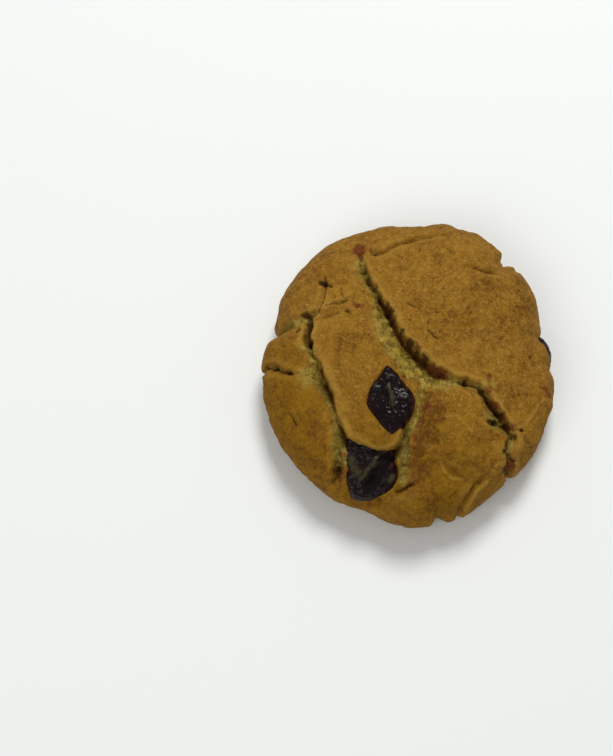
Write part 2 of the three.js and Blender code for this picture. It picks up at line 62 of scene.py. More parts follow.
# The cracks, each a line of (x, y, depth, left, right), where left and right are how far its walls reach from
# the line on each side of the way it runs: 1.2 is a broken, steep edge, and 5 or more a slope of open crumb.
# `crumb` says how far the crack has torn the crust open, from 0, a fold in whole crust, to 1.
CRACKS = {
    "slab": dict(crumb=1, points=(
        (-17.4, 42, 0.2, 1, 1.2), (-16.8, 38, 1, 1.1, 1.5), (-15.8, 33.6, 2, 1.1, 2.6),
        (-13.4, 28.4, 2.4, 1.1, 3.6), (-11.2, 22.6, 2.8, 1.1, 4.4), (-10.2, 19.4, 3.8, 1.1, 4.4),
        (-8.2, 15.8, 4.6, 1.2, 4.8), (-5.9, 11.4, 4.6, 1.1, 6.6), (-4.2, 7.6, 4.8, 1.1, 8),
        (-2.2, 4.2, 5, 1.2, 9.2), (0.4, 1.4, 5.2, 1.4, 10), (3.4, -2.4, 5.2, 1.4, 10),
        (6.2, -5, 4.8, 1.5, 9), (9.6, -7.4, 4, 1.6, 8), (13.4, -9.6, 2, 1.6, 5), (18, -10, 2.8, 1.4, 3.4),
        (22.6, -11.2, 2.8, 1.2, 2.6), (25.4, -14.6, 3.4, 1.2, 2.6), (28, -18.8, 4, 1.2, 4),
        (31.6, -23.6, 4.6, 1.2, 5.5), (32.6, -27.4, 3, 1.2, 2), (30.6, -31.6, 2.2, 1.3, 1.6),
        (31.6, -35.2, 2.4, 1.4, 1.8), (33.5, -41, 1.6, 1.6, 1.8),
    )),
    "tongue": dict(crumb=1, points=(
        (-27.6, 27, 0.5, 0.8, 0.8), (-28.4, 21.4, 0.9, 0.8, 0.8), (-30.4, 16.8, 1.2, 0.9, 1.2),
        (-33.2, 14.8, 3, 1.2, 1.8), (-33.6, 10.5, 3.2, 1.3, 1.7), (-33.6, 5.5, 3.4, 1.3, 1.6),
        (-33, 1.5, 2.4, 1.2, 1.8), (-31, -1.8, 1.6, 1.2, 3), (-29.4, -5, 3.8, 1.3, 8),
        (-28.3, -9.5, 4.2, 1.2, 4.4), (-27, -13.2, 3.8, 1.2, 3.2), (-25.6, -17.5, 3, 1.2, 2.4),
        (-25.2, -21, 1.8, 1.4, 2), (-24.4, -24.5, 2.8, 1.4, 2.5), (-21.8, -28.6, 4.6, 1.4, 4.5),
        (-17, -31.6, 5.4, 1.4, 7), (-12.2, -34, 5.4, 1.4, 8), (-7.6, -33.8, 5, 1.5, 6),
        (-4, -31.6, 3.6, 1.5, 4), (-1.2, -27.4, 2.4, 1.6, 3.4), (1, -22.5, 1.8, 1.8, 3),
        (2.8, -18, 1.2, 2, 2.5),
    )),
    "pale valley": dict(crumb=1, points=(
        (2.4, -9, 1, 3, 3), (3.2, -14.5, 1.8, 3, 3), (1.4, -20, 2, 2.4, 2.4), (-1, -25.5, 2.2, 2.4, 2.4),
        (-2, -31, 2.4, 3, 3), (-2.5, -36, 2.4, 3, 3), (-2.7, -41, 2, 2.2, 2.2), (-3.6, -45, 0.8, 1.8, 1.8),
    )),
    "brown valley": dict(crumb=0.15, points=(
        (5.6, -18, 0.6, 4, 2.5), (3.8, -24, 1.3, 5, 2.5), (4.4, -31, 1.8, 6, 3), (5.4, -38, 1.5, 6, 3),
        (4.6, -45, 0.3, 5, 3),
    )),
    "left split": dict(crumb=0.6, points=(
        (-51, -0.5, 0.8, 1.2, 1.2), (-47, -1.2, 1.2, 1.2, 1.2), (-45.3, -2.4, 2.6, 1.3, 1.3),
        (-42.6, -4, 1.2, 1.1, 1.1), (-37.6, -6.4, 0.4, 1, 1),
    )),
    "left band": dict(crumb=0.9, points=(
        (-34.4, 14.6, 2.2, 3, 2.2), (-38, 12.8, 1.7, 2.8, 2.8), (-42, 12.6, 1.2, 1.6, 1.8),
        (-44, 12, 0.5, 1, 1.2),
    )),
    "left fold": dict(crumb=0.1, points=(
        (-41.5, 13, 0.8, 1.2, 1.4), (-44.6, 11, 1.3, 1.2, 1.6), (-49.5, 10, 1.2, 1.4, 1.6),
    )),
    "lobe valley": dict(crumb=0.6, points=(
        (-25.4, -21.5, 0.8, 1.6, 1.8), (-24.2, -27, 1.8, 2.4, 2.6), (-24.2, -33, 2, 2.6, 3),
        (-24.6, -38, 1.8, 2.6, 3), (-24.4, -42.5, 0.6, 2, 2),
    )),
    "pocket lip": dict(crumb=0.2, points=(
        (-10, -48.2, 0.5, 2, 1), (-5, -46.2, 1.6, 2.4, 1), (-2.6, -45.2, 1.4, 2, 1),
        (-0.3, -43.6, 1, 1.5, 1), (2, -42.8, 0.3, 1.2, 1),
    )),
    "top flap": dict(crumb=0.2, points=(
        (-15, 38.4, 0.5, 1.2, 1.2), (-8, 38.8, 1.4, 1.4, 1.2), (-2.4, 41.8, 1.8, 1.5, 1.2),
        (3, 43.4, 1.4, 1.5, 1.2), (9, 45.2, 0.8, 1.2, 1), (15, 46.6, 0.3, 1, 1),
    )),
    "upper crease": dict(crumb=0, points=(
        (17.5, 31.2, 0.4, 1.5, 1.2), (22.7, 31, 1.2, 2.5, 1.2), (27, 30.6, 1.6, 2.5, 1.2),
        (30, 31.4, 1.2, 2.5, 1.4), (33, 35, 0.8, 2, 1.6), (35.5, 41, 0.6, 1.6, 1.6),
    )),
    "tongue ledge": dict(crumb=0.2, points=(
        (-32.5, 13, 0.6, 3, 1), (-29.7, 14.4, 1.2, 3, 1), (-26.7, 14.8, 1.3, 3, 1),
        (-23.6, 16.1, 1.1, 3, 1), (-18.6, 19, 0.8, 3, 1), (-15, 23, 0.3, 2, 1),
    )),
    "rim fold": dict(crumb=0.2, points=(
        (24, -39.5, 0.3, 1.2, 1.2), (21.8, -41.9, 1.1, 1.3, 1.3), (18.8, -45.5, 1.5, 1.3, 1.3),
        (15.4, -50.5, 1, 1.3, 1.3),
    )),
    "lobe fold": dict(crumb=0, points=(
        (8, -37, 0.3, 1, 2), (13, -40, 0.7, 1, 2.5), (17.5, -42.5, 0.5, 1, 2.5), (21, -43, 0.2, 1, 2),
    )),
}
STEEP_REACH = 1.8  # a wall that reaches less than this from its line is a broken edge
CRACK_BLEND = 4  # the power in which cracks that meet are added, so that they run into one another

# Swellings of the dough: x, y, the half lengths, the height, which is below 0 for a dip, and the turn in
# degrees where there is one.
SWELLINGS = {
    "slab": (18, 16, 30, 24, 1.4),
    "tongue": (-15, -9, 8.5, 25, 2, 16),
    "tongue tip": (-12, -28, 8, 7, 1.4),
    "lower right lobe": (17, -29, 12, 12, 2.6),
    "lower left lobe": (-38, -24, 8, 19, 2.2, 25),
    "left lobe": (-42, 4, 7, 5.5, 1.6),
    "shoulder": (-32, 28, 16, 8, 1.3, 49),
    "right rim": (40, -22, 6, 16, 1.4, -20),
    "bottom rim": (0, -48, 14, 5, 1.3),
    "fruit pocket": (-13, -38, 9.5, 8.5, -3.2),
}

# Uneven dough: the size of each kind of lump, and how far it moves the surface.
DOUGH_LUMPS = ((16, 1.1), (6.5, 0.45))

# ---- What only shows close up ----

# The seeds keep kinds of noise that meet from lying alike.
RAGGED = ((6, 0.8), (2.6, 0.45), (1.3, 0.16))  # the cracks' edges wander: size and reach of each wave
WANDER_SEEDS = (7, 47)
UNEVEN = ((3.4, 0.22), (1.5, 0.24))  # the crumb's slopes are uneven: size and share of each wave
UNEVEN_SEED = 61
CRUST_GRAIN = ((5, 0.32), (2.2, 0.22), (1.1, 0.1))  # size and height
CRUST_SEED = 5
CRUMB_GRAIN = ((3.2, 0.6), (1.6, 0.6), (0.9, 0.3))  # torn crumb is far rougher
CRUMB_SEED = 9
CRUMB_OPENS = (0.1, 1.4)  # a tear is rough from the first depth, and as rough as crumb from the second
CRUMB_SHOWS = 2.6  # and it shows nothing but crumb from this depth
WALL_DARKENS = (1.6, 4)  # a broken edge gets painted shade from the first of these depths, and is darkest from the second
WALL_FOOT = 1.3  # the painted shade spreads this far over the crumb at its foot
CREVICE_SHADE_DEPTH = 0.6  # a spot of painted crevice shade lies this deep
LIP_HEIGHT = 0.5  # the crust stands up along a broken edge
LIP_WIDTH = 1.1
LIP_SETBACK = 0.7  # the lip's crest stands this far back from the edge
WHOLE_LIP_DEPTH = 3  # the lip has its whole height beside a crack this deep
BASE_PORES = ((7, 0.5), (3, 0.3))  # the underside's shallow bubbles: size and depth of each kind
PORES_SEED = 3
BASE_FLAT = 0.1  # bubbles shallower than this are left flat

# Pits and specks: x, y, radius and depth. Each gets painted shade as deep as it is.
PITS = (
    (-45.3, -2.4, 1.2, 1.4), (-15.8, 31.9, 1.2, 0.9), (-14, 27, 1.2, 1), (-7.4, 15, 1.6, 0.9),
    (-32.9, 4.8, 1.4, 0.9), (26.9, -23.4, 1.6, 0.9), (24.8, -23, 1.3, 0.5), (26, -26.2, 1.1, 0.5),
    (30.4, -22, 1, 0.9), (18.2, -9.6, 1.8, 0.9), (-24.8, -39.2, 1.9, 1.2), (-25.4, -36.2, 1, 0.8),
    (-28.2, 27, 1.3, 0.8), (-20.7, 29.1, 0.9, 0.6), (19.3, 15.5, 0.9, 0.6), (14.2, 15, 0.9, 0.4),
    (25.1, 19.5, 0.9, 0.5), (28.7, 14.3, 0.8, 0.4), (3.3, 8, 0.9, 0.7), (40.3, 0.9, 1.1, 1),
    (24.2, 7.6, 0.8, 0.3), (14.3, 1.1, 0.8, 0.3), (-3, -8.5, 1.1, 0.7), (17.4, -20.7, 1.1, 0.5),
    (20.3, -17.4, 1, 0.3), (-43.9, -16.5, 0.9, 0.4), (-11, 1.5, 0.9, 0.4), (-12.1, 4.2, 0.9, 0.4),
    (36.3, -24.8, 1, 0.8), (20.8, -44.5, 0.9, 0.5), (-3.5, -36, 1, 0.6), (-2.6, -38.3, 1, 0.6),
    (-40.1, -4.8, 1.1, 0.8),
)
# Creases: depth, half width and the line each follows.
CREASES = (
    (1, 0.9, ((-28, 29.4), (-28.2, 27), (-26.2, 25))), (1, 0.8, ((-30, 28), (-28.2, 27), (-27.9, 24.8))),
    (0.9, 0.7, ((-27.4, 26.4), (-28.4, 21.4), (-29.2, 18.4), (-30.4, 16.4))),
    (0.7, 0.8, ((-23, 24.4), (-22.9, 22.6), (-22.2, 20.6))), (0.8, 0.9, ((-21.4, 16.8), (-20.2, 14.8))),
    (0.8, 0.9, ((-27.9, 18.2), (-25.4, 18.9), (-23.4, 18.8), (-21, 19.8))),
    (0.6, 0.9, ((-31.8, 13), (-29.7, 14), (-26.7, 14.4), (-23.8, 15.6))),
    (0.5, 0.9, ((-26.4, 23), (-25, 20.6))), (0.6, 0.9, ((-18.6, 22.4), (-19.4, 19.6), (-18.4, 16.8))),
    (0.9, 0.7, ((5.6, 7.6), (7, 6.2), (8.8, 4.6))), (0.9, 0.8, ((23.4, 31.1), (26.4, 30.6), (29.6, 31.3))),
    (0.4, 0.9, ((18.6, 31.2), (21, 30.4), (23.4, 31.1))),
    (0.7, 0.7, ((-12.5, 38.6), (-7.9, 38.8), (-2.3, 41.8), (3, 43.4), (8.9, 45.4))),
    (0.7, 0.8, ((13.1, 39.8), (15.1, 37.8))), (0.5, 0.8, ((2.2, 36.9), (4.2, 38.8))),
    (0.5, 0.7, ((-2.6, 38.7), (0.4, 37.7))), (0.5, 0.8, ((-2.4, 22.6), (-0.6, 20.2))),
    (0.8, 0.9, ((-1, 17.5), (1.5, 15.6))), (0.4, 0.7, ((-3.1, 16.2), (-2.1, 18.2))),
    (0.5, 0.7, ((23.6, -4), (25.3, -5.8))), (0.6, 0.7, ((33.4, -24.6), (36.3, -24.8))),
    (0.5, 0.6, ((29.5, -33.5), (27.4, -35), (25.6, -37.4))), (0.5, 0.7, ((12, -46.6), (13.8, -45.4))),
    (0.7, 0.6, ((-40.2, -18.4), (-39.1, -20.4), (-37.6, -22.4))),
    (0.4, 0.7, ((-5.5, -52.5), (0.5, -51), (7, -50.5))),
    (0.9, 0.7, ((-5.4, -46.4), (-2.6, -45.2), (-0.2, -43.6))),
    (0.6, 0.6, ((-49, -0.8), (-47, -1.2), (-45.3, -2.4), (-42.6, -4), (-39, -5.6))),
    (0.5, 0.7, ((5.5, -17), (3.8, -21), (3.5, -24))), (0.5, 0.6, ((-43.6, 12.4), (-45, 10.4), (-48, 10))),
)
# Ridges: height, half width and the line each follows.
RIDGES = (
    (0.6, 1.3, ((-31, 17.4), (-27.4, 18.4), (-24, 19.8), (-20.4, 21.6))),
    (0.5, 0.7, ((43.5, -13), (41, -17), (38, -21.5))),
    (0.5, 0.8, ((9, -37), (10.3, -40), (13, -41.6), (16.4, -41.8))),
    (0.6, 0.7, ((24.2, -41.6), (21, -45), (17.4, -49.4))),
    (0.4, 0.9, ((11, -22.4), (14.4, -21.8), (16.6, -24.6), (19, -27))),
    (0.4, 0.7, ((30.5, -32.5), (28.4, -34), (26.6, -36.4))), (0.3, 0.6, ((-38.6, -17.6), (-36.8, -21))),
    (0.3, 0.8, ((14.6, -12.6), (18, -13.6), (20.4, -16.4))),
    (0.35, 0.7, ((2, 3.4), (5.4, -0.6), (8.4, -3.6))),
)
# Loose crumbs that stand in the cracks: x, y, radius and height.
CRUMBS = (
    (-8.2, 4, 2.6, 1), (-5.6, 4.4, 2.8, 1), (-4.2, 1, 2.6, 1), (-5.8, -1.4, 2, 0.7), (-2.4, -3.6, 2.2, 0.8),
    (-0.6, -7.8, 2.2, 0.8), (2.6, -6.2, 2, 0.7), (4.6, -11.6, 2, 0.7), (1.8, -16.6, 1.8, 0.7),
    (-31.8, 1.6, 1.8, 1.3), (-32.4, -1.4, 1.7, 1.1), (-35, 2.2, 1.5, 0.7), (-29.6, -8, 1.8, 0.7),
    (-32, -5.6, 2, 0.6), (23.6, -20.6, 1.4, 0.4), (23.6, -10.4, 1.6, 0.8), (30.2, -22.4, 1.4, 0.5),
    (-1, -24.4, 2, 0.4), (-3, -30.4, 2.2, 0.4), (-2.6, -40.8, 1.8, 0.3), (-22.4, -36.4, 2, 0.8),
    (-17.4, 34.4, 1.6, 0.5), (-13.8, 24.4, 1.6, 0.6), (-15.8, 29, 1.5, 0.5), (-11.2, 14.4, 1.9, 0.6),
    (-37.6, 13.2, 1.7, 0.6), (-40.2, 12.6, 1.3, 0.5), (-24.6, -30.4, 1.8, 0.6), (-25.4, -33.8, 1.5, 0.5),
)
CRUMB_HEIGHT = 0.85  # a loose crumb's own lumps leave it this share of its height
CRUMB_HEIGHT_SWING = 0.6  # and up to this share more or less
CRUMB_LUMPS = 1.4  # their size
CRUMB_LUMPS_SEED = 5
COVERING_CRUMB_HEIGHT = 0.4  # a loose crumb this high hides the painted shade under it
WHOLE_CRUMB_HEIGHT = 0.6  # one this high shows nothing but crumb
YELLOW_CRUMB_HEIGHT = 0.9  # and one this high is at its yellowest

# ---- Where the crust is coloured: x, y, half lengths, strength, and the turn where there is one ----

PATCH_EDGE = 1.5  # 1 fades a patch out as softly as a bell curve, and more gives it a clearer edge

# Toasted, and so redder and darker; a negative strength is more golden, and on the tongue's upper end it is a
# painted highlight.
TOASTED = (
    (38.5, 20, 5, 12, 0.8), (33.5, 11.5, 4.5, 5.5, 0.6), (27, 24.4, 5.5, 3, 0.8), (11.7, 33.9, 4, 3, 0.3),
    (10, 46, 12, 4, 0.35, 15), (9, 13, 11, 9, 0.4), (16, 10, 8, 4, 0.2), (43, -4, 3, 5, 0.4),
    (3.8, 34, 5, 5, -0.3), (15.6, 29, 5, 4, -0.25), (21.4, 38.8, 7, 3, -0.3), (19, -3.4, 7, 3, -0.4),
    (8.4, -2.4, 4, 2.5, -0.4, -45), (-18.6, 3, 6, 10, 0.5), (-12, 7, 3, 3, 0.3), (-23.4, 22, 5, 5, -1.3),
    (-26, 11.4, 7, 3.5, -0.8), (-28.4, 4, 2.5, 8, -0.5), (-22.5, -14, 3, 9, -0.35, 10),
    (-42.6, 5.8, 4.5, 3, 0.35), (-34, 30, 12, 8, 0.5, 49), (-16, 42, 6, 4, 0.35), (2.8, -38, 4.5, 9, 2),
    (3, -27, 5, 6, 1.9), (6.4, -19.4, 6, 4, 1.9, -20), (-30.6, -26, 2.4, 9, 0.6, 10), (16, -35, 7, 3, 0.3),
    (-30, -34, 3, 9, 0.7, 10), (22, -32, 5, 4, -0.2), (16.6, -22.6, 5, 4.5, -0.9), (14, -32, 5, 4, -0.4),
    (-2, -49, 8, 3, 0.2),
)
# A deeper, darker yellow over the lower and left side: painted shade where the side is turned from the light.
SHADED_SIDE = (
    (-38, -20, 12, 24, 1, 25), (-12, -27, 9, 10, 0.7), (0, -47, 34, 9, 0.8), (14, -30, 15, 15, 0.6),
    (-42, 4, 8, 7, 0.4), (-16, 4, 9, 14, 0.25, 10),
)
# The crust is thin here, and the crumb shows through.
BARE = (
    (-18, 32.6, 3, 5, 0.38, 15), (-15.6, 36, 2, 3, 0.3), (-39.4, 13.4, 6, 2.6, 0.2), (26, -23, 3, 3, 0.5),
    (-34.8, -7, 3, 4, 0.5), (-23.6, -31, 3, 8, 0.5), (26.4, -9.6, 2, 2, 0.4), (-35.4, 2.4, 2, 2.4, 0.4),
    (-11.4, 10, 3, 7, 0.35, 20),
)
# Greener, darker crumb: painted shade along the cracks and in the valleys.
OLIVE_SHADE = (
    (-2.4, -35, 5, 12, 1), (-38, 13, 8, 4, 0.5), (26, -23, 3, 3, 0.8), (-29.6, -9, 5, 9, 0.9, 15),
    (-14, 29, 5, 9, 0.8), (-23.8, -32, 5, 10, 1), (-33.6, 7, 3, 8, 0.8), (28, -20, 8, 5, 0.6, -45),
    (31, -31, 3, 6, 1),
)
# Nearly black spots where the crust broke: painted shade in its crevices and under its creases.
CREVICE_SHADE = (
    (-13.8, 27.6, 1.4, 2, 0.7, 20), (-12, 24.4, 2, 2, 0.8, 20), (-10.6, 20.6, 1.6, 2, 0.8),
    (29.8, -30.6, 1.4, 2, 0.6), (-28.4, 26.8, 1.5, 1.3, 1.2), (-15.6, 31.9, 1.5, 1.1, 1, 40),
    (-14.2, 29.2, 1, 1.3, 0.5), (-7.8, 17, 1.1, 0.9, 0.9), (-7.4, 14.9, 2.5, 1.3, 1.2),
    (-5.8, 12.2, 1.4, 1.8, 0.9, 30), (-2.6, 7, 1, 1.2, 0.9), (0, 3.4, 2, 1.3, 1.2, -45),
    (2.6, 0, 1.4, 1.7, 1, -40), (4.8, -2.5, 1.7, 1.3, 0.9, -40), (-35.4, 16, 1.8, 1.3, 0.9, 10),
    (-34.2, 13, 1, 3.2, 0.9), (-34.6, 8, 1.1, 2.4, 0.7), (-37, 10, 1.5, 0.8, 0.9, 20),
    (-40.4, 11.6, 1.2, 0.8, 0.6), (-42.4, 14.4, 1, 1.2, 0.5), (9.2, -6.6, 2, 1.2, 0.5, -35),
    (18.4, -9.8, 2, 1, 0.8, -10), (-32.9, 4.7, 1.3, 1.8, 1.2), (-40.1, -4.8, 1.3, 0.9, 0.8),
    (-47.5, -0.5, 1.1, 0.6, 0.7), (-24.8, -39.2, 1.8, 2.6, 0.9, 20), (-25.7, -36.2, 0.9, 1.1, 0.6),
    (-20.8, 15.8, 0.8, 1.2, 0.9, 30), (26.1, 24.5, 1.5, 0.9, 0.55, -20), (28.6, 23.5, 1.2, 0.7, 0.45, -20),
    (24.4, -12.4, 1.4, 1.1, 0.8, -20), (25.9, -16.7, 1.1, 1.4, 0.7), (25.1, -23.2, 1.6, 1.1, 1),
    (27, -23.1, 1.7, 1.1, 1.1), (29.2, -20.4, 1.6, 1.1, 0.7, -20), (33.1, -27, 0.7, 1.8, 0.8),
    (30.3, -29.1, 1, 1.1, 0.7), (29.3, -31, 0.6, 0.6, 0.8), (32.4, -33.4, 1.2, 0.8, 0.8),
    (30.2, -36, 0.9, 1.6, 0.7), (31.6, -37.6, 1.4, 0.7, 0.7), (-11.3, -48.3, 1.4, 1, 0.7),
    (-11.4, 38.7, 1.1, 0.9, 0.8),
)
# Juice from the fruit has stained the crust red.
STAINS = (
    (-17, 40.2, 2.8, 3, 1.2), (-17.2, 39.6, 1.4, 1.6, 0.5), (-12.6, 40, 1.8, 1.4, 0.7),
    (-16.8, 37, 1.2, 1.6, 0.7), (-17, 17.4, 2, 1.2, 1.4), (9.6, -6.9, 2.6, 1.9, 1.5, -35),
    (6.6, -4.6, 1.4, 1.4, 0.9, -35), (-1.4, 8.4, 1, 3, 0.6, 40), (1.6, 2.6, 1, 2, 0.7, 40),
    (43.5, -9.7, 1.4, 1.1, 1), (45.2, -11.3, 1.4, 1, 1.1, -40), (31.8, -34.8, 1.8, 1.4, 1.1),
    (30.4, -36.8, 1.6, 1.3, 1.1), (25.8, -8.2, 1.1, 1.8, 1.1), (25.9, -12, 1.2, 1.8, 1.1),
    (27.4, -16.8, 1.3, 2, 1.1, 30), (30.2, -20.6, 1.6, 1.4, 1.1, -45), (33, -23.8, 1.1, 2, 1.1),
    (27.1, -27.2, 1.1, 0.8, 0.8), (36.3, -24.8, 0.9, 0.7, 0.8), (4.6, -19, 2.6, 1.8, 0.9),
    (8.6, -16, 2, 1.2, 0.8, -20), (2.4, -23.6, 1.8, 2.2, 0.8), (1.4, -29.4, 1.4, 2.6, 0.7),
    (4.4, -28, 1.2, 1.6, 0.7), (1.4, -35, 1.4, 1.8, 0.6), (2.8, -39.8, 1.6, 1.8, 0.7),
    (-23, -39.4, 1.2, 3.4, 0.9), (-21.8, -34, 0.8, 3, 0.7), (-13.6, -47.8, 0.9, 1.3, 0.9),
    (-7, -47.6, 4, 1, 0.5, 15), (-2.8, -9.4, 0.9, 0.8, 0.8), (-3, -8.4, 0.8, 0.7, 0.9),
    (-41, -4.6, 2, 0.8, 0.8, -20),
)
PATCHY = ((5, 2.4), (1.6, 1))  # the patches' edges wander: size and reach of each wave
MOST_MARKED = 1.5  # stains, and spots of painted crevice shade, that overlap count no more than this
MOST_SLIT_SHADE = 1.2  # and the painted shade of a pit in a crease no more than this
SLIT_SHADE_DEPTH = 0.9  # a pit or a crease this deep is dark with painted shade
DARKEST_SHADE_DEPTH = 5  # a crack this deep has its darkest painted shade
HIGHLIGHT_RIDGE_HEIGHT = 0.5  # a ridge this high has its whole painted highlight

# ---- The fruit ----

# Place: x, y, the depth under the dome or, in the side, its own height, and how far the dough dips under it.
# Form: the half sizes, the turn in degrees, the power of its outline (1 is a rhombus and 2 an ellipse), how
# much fuller its edge is than a ball's, and its seed. Look: the share of sugar that shows on it, dried sugar
# and partly a painted sheen.
FRUIT = {
    "fruit_diamond": dict(
        x=-7.4, y=-16.9, depth=1.4, pocket=1.6,
        half=(8.6, 12.6, 3.6), turn=3, power=1.28, cushion=0.5, seed=11, sugar_sheen=0.3),
    "fruit_under_tongue": dict(
        x=-14.2, y=-32.2, depth=5.2, pocket=0,
        half=(8.8, 7.8, 4.6), turn=-12, power=3, cushion=0.4, seed=23, sugar_sheen=0.06),
    "fruit_lower": dict(
        x=-12.9, y=-40.3, depth=4.6, pocket=1.6,
        half=(9.3, 6.9, 4.8), turn=10, power=2.6, cushion=0.4, seed=37, sugar_sheen=0.15),
    "fruit_side": dict(
        x=44.5, y=4.9, height=10.5, pocket=0,
        half=(4.2, 7.6, 4.8), turn=2, power=2, cushion=0.1, seed=41, sugar_sheen=0.1),
}
FRUIT_LUMPS = ((5, 0.4), (2.2, 0.15))
FRUIT_WRINKLES = ((1.9, 0.3), (0.9, 0.16))
WRINKLES_SEED = 3
POCKET_EDGE = 0.82  # the dough dips under a piece of fruit inside this share of its outline
POCKET_SLOPE = 0.12  # and comes up again over this share
# Crumb that sticks to the fruit: half width and the line it follows.
STUCK_CRUMB = (
    (1.7, ((-7.6, -31.6), (-10.6, -34.6), (-14.2, -38.2), (-16.8, -41.4))),
    (2.6, ((-20.4, -34.2), (-19.2, -37.4), (-17.2, -40.6))),
    (1.8, ((-6.4, -41), (-7.6, -42.4))),
    (1.6, ((-8.2, -12.6), (-6.8, -15), (-6.6, -18.4))),
)
# Smooth hollows in it: depth, half width and the line.
FRUIT_HOLLOWS = (
    (1.8, 2.8, ((-8.4, -34.8), (-11.2, -39.4), (-14, -43.8))),
    (0.8, 1.4, ((-9.4, -11.6), (-9, -15.2))),
)
STUCK_CRUMB_HEIGHT = 0.3
WHOLE_HOLLOW_DEPTH = 0.8  # a hollow this deep has no wrinkles
FRUIT_TOP = 0.3  # hollows and stuck crumb are whole above this share of the half height
FRUIT_EDGE_FROM = 0.62  # the redder rim begins at this share of the way out
FRUIT_EDGE_WIDTH = 0.36  # and is reddest after this share more

# ---- Fineness of the meshes ----

DOME_RINGS = 140
SPOKES = 6  # ring k of the dome has this many times k points, so the triangles stay even
LEAST_RADIUS = 1  # nearer the middle than this the relief moves points straight up
HEEL_RINGS = 24  # each has as many points as the dome's last ring
BASE_RINGS = 30
FRUIT_SUBDIVISIONS = 7
PROFILE_STEPS = 2000

# ---- Looks: the colours are linear ----

CRUST_GOLDEN = (0.305, 0.15, 0.017)
CRUST_BROWN = (0.226, 0.105, 0.012)
CRUST_TOASTED = (0.125, 0.049, 0.006)
# The deeper, darker yellow of painted shade on the side turned from the light.
CRUST_SHADED_SIDE = (0.235, 0.115, 0.002)
CRUST_PALE = (0.43, 0.26, 0.052)
CRUST_ORANGE = (0.245, 0.102, 0.004)
CRUMB_PALE = (0.385, 0.268, 0.048)
CRUMB_YELLOW = (0.42, 0.278, 0.034)
CRUMB_FLECK = (0.49, 0.365, 0.1)
# The crumb's olive and its darkest colour are painted shade.
CRUMB_GREEN = (0.23, 0.2, 0.062)
CRUMB_SHADOW = (0.11, 0.07, 0.008)
# The broken walls' colours: browned red crust darkened as painted shade, and the painted shade at its
# darkest.
WALL_BROWN_SHADE = (0.112, 0.038, 0.003)
WALL_DEEP_SHADE = (0.045, 0.018, 0.003)
JUICE = (0.2, 0.045, 0.015)
JUICE_DARK = (0.08, 0.02, 0.006)
# Nearly black: specks, and the painted shade in pits, creases and crevices.
SPECK_SHADE = (0.04, 0.017, 0.004)
FRUIT_SKIN = (0.006, 0.003, 0.003)
FRUIT_RIM = (0.056, 0.012, 0.013)
# Pale speckle of dried sugar, partly a painted sheen.
FRUIT_SUGAR_SHEEN = (0.06, 0.042, 0.028)
FRUIT_CRUMB = (0.058, 0.052, 0.018)
FLOOR_COLOR = (0.9, 0.92, 0.9, 1)

# The crust's clouds: size, strength and seed of each kind.
MOTTLING = ((6, 1.5, 1), (2.4, 2.3, 2), (0.85, 2.4, 3))
# The materials' noise: the size of its lumps, its detail, its roughness and its seed.
LAYERS = {
    "pale flecks": (0.7, 1, 0.5, 11), "orange flecks": (0.9, 1, 0.5, 12), "crumb hollows": (2.4, 2, 0.6, 4),
    "small hollows": (0.9, 2, 0.6, 9), "brown crumb": (1.6, 2, 0.6, 10), "bright crumb": (1.1, 2, 0.6, 14),
    "torn edge": (2.6, 4, 0.7, 15), "wall_shade": (1.8, 3, 0.65, 5), "mark edge": (1.3, 3, 0.65, 6),
    "juice": (1.1, 2, 0.6, 13), "pores": (0.7, 3, 0.7, 3), "grain": (1.5, 4, 0.7, 4),
    "fruit rim": (2.6, 3, 0.6, 2), "sugar_sheen": (1.4, 3, 0.7, 4), "stuck crumb": (1.6, 3, 0.7, 1),
    "gloss": (1.5, 3, 0.6, 3), "skin grains": (1.4, 1, 0.5, 6), "skin folds": (3.4, 1, 0.5, 5),
}
CLOUD_NOISE = (2, 0.6)  # detail and roughness
TOASTED_CLOUDS = 1.3  # how much stronger the clouds are on toasted crust
TONES = {"toasted": 0.42, "ridge_highlight": -0.35, "base": 0.35}  # how much darker these masks make the crust
HIGHLIGHT_SHARE = 0.4  # how much these masks count in a mix of colours
SHADED_SIDE_SHARE = 0.85
OLIVE_SHADE_SHARE = 0.65
DEPTH_SHADE = 0.3  # how much a crack's depth counts as a hollow in its crumb, as painted shade
WALL_BLOTCHES = 1.6  # how much its blotches count beside a wall's own painted shade
# Marks, the stains and the painted shade of crevices, pits and creases: how ragged their edges are, at what
# strength they are whole, and how much they then hide.
MARKS = {"stain": (2.4, 1.2, 0.85), "crevice_shade": (2, 1, 0.9), "slit_shade": (1.2, 1, 0.75)}
CRUST_ROUGHNESS = 0.7
CRUMB_ROUGHNESS = 0.9
DOUGH_SPECULAR = 0.05
FRUIT_ROUGHNESS = (0.13, 0.32)
DULLS = {"crumb": 0.3, "hollow": 0.6, "edge": 0.12}  # how much rougher these masks make the fruit
FRUIT_SPECULAR = 0.12
FLOOR_ROUGHNESS = 0.9
FLOOR_SPECULAR = 0.1

# ---- The studio, in metres, and the camera ----

FLOOR_SIZE = 6
FLOOR_DROP = 0.1  # millimetres under the base, so that the two don't share a plane
LIGHT_TARGET = (0, 0, 0.01)
LIGHTS = {
    "key": dict(place=(0.15, 0.75, 1.1), size=0.5, power=11.5),
    "fill": dict(place=(-0.5, -0.7, 0.8), size=0.8, power=3.5),
}
SKY_STRENGTH = 0.32
CLIP_START = 0.01
# The photograph's frame, where the cookie's middle falls in it, and the scale there.
FRAME_WIDTH = 613
FRAME_HEIGHT = 756
TARGET_PIXEL = (408.9, 367.2)
PIXELS_PER_MM = 2.95
CAMERA_ELEVATION = 70
CAMERA_DISTANCE = 600  # this and the target's height are in millimetres
TARGET_HEIGHT = 14
SENSOR = 36

# ---- Small mathematics on arrays ----


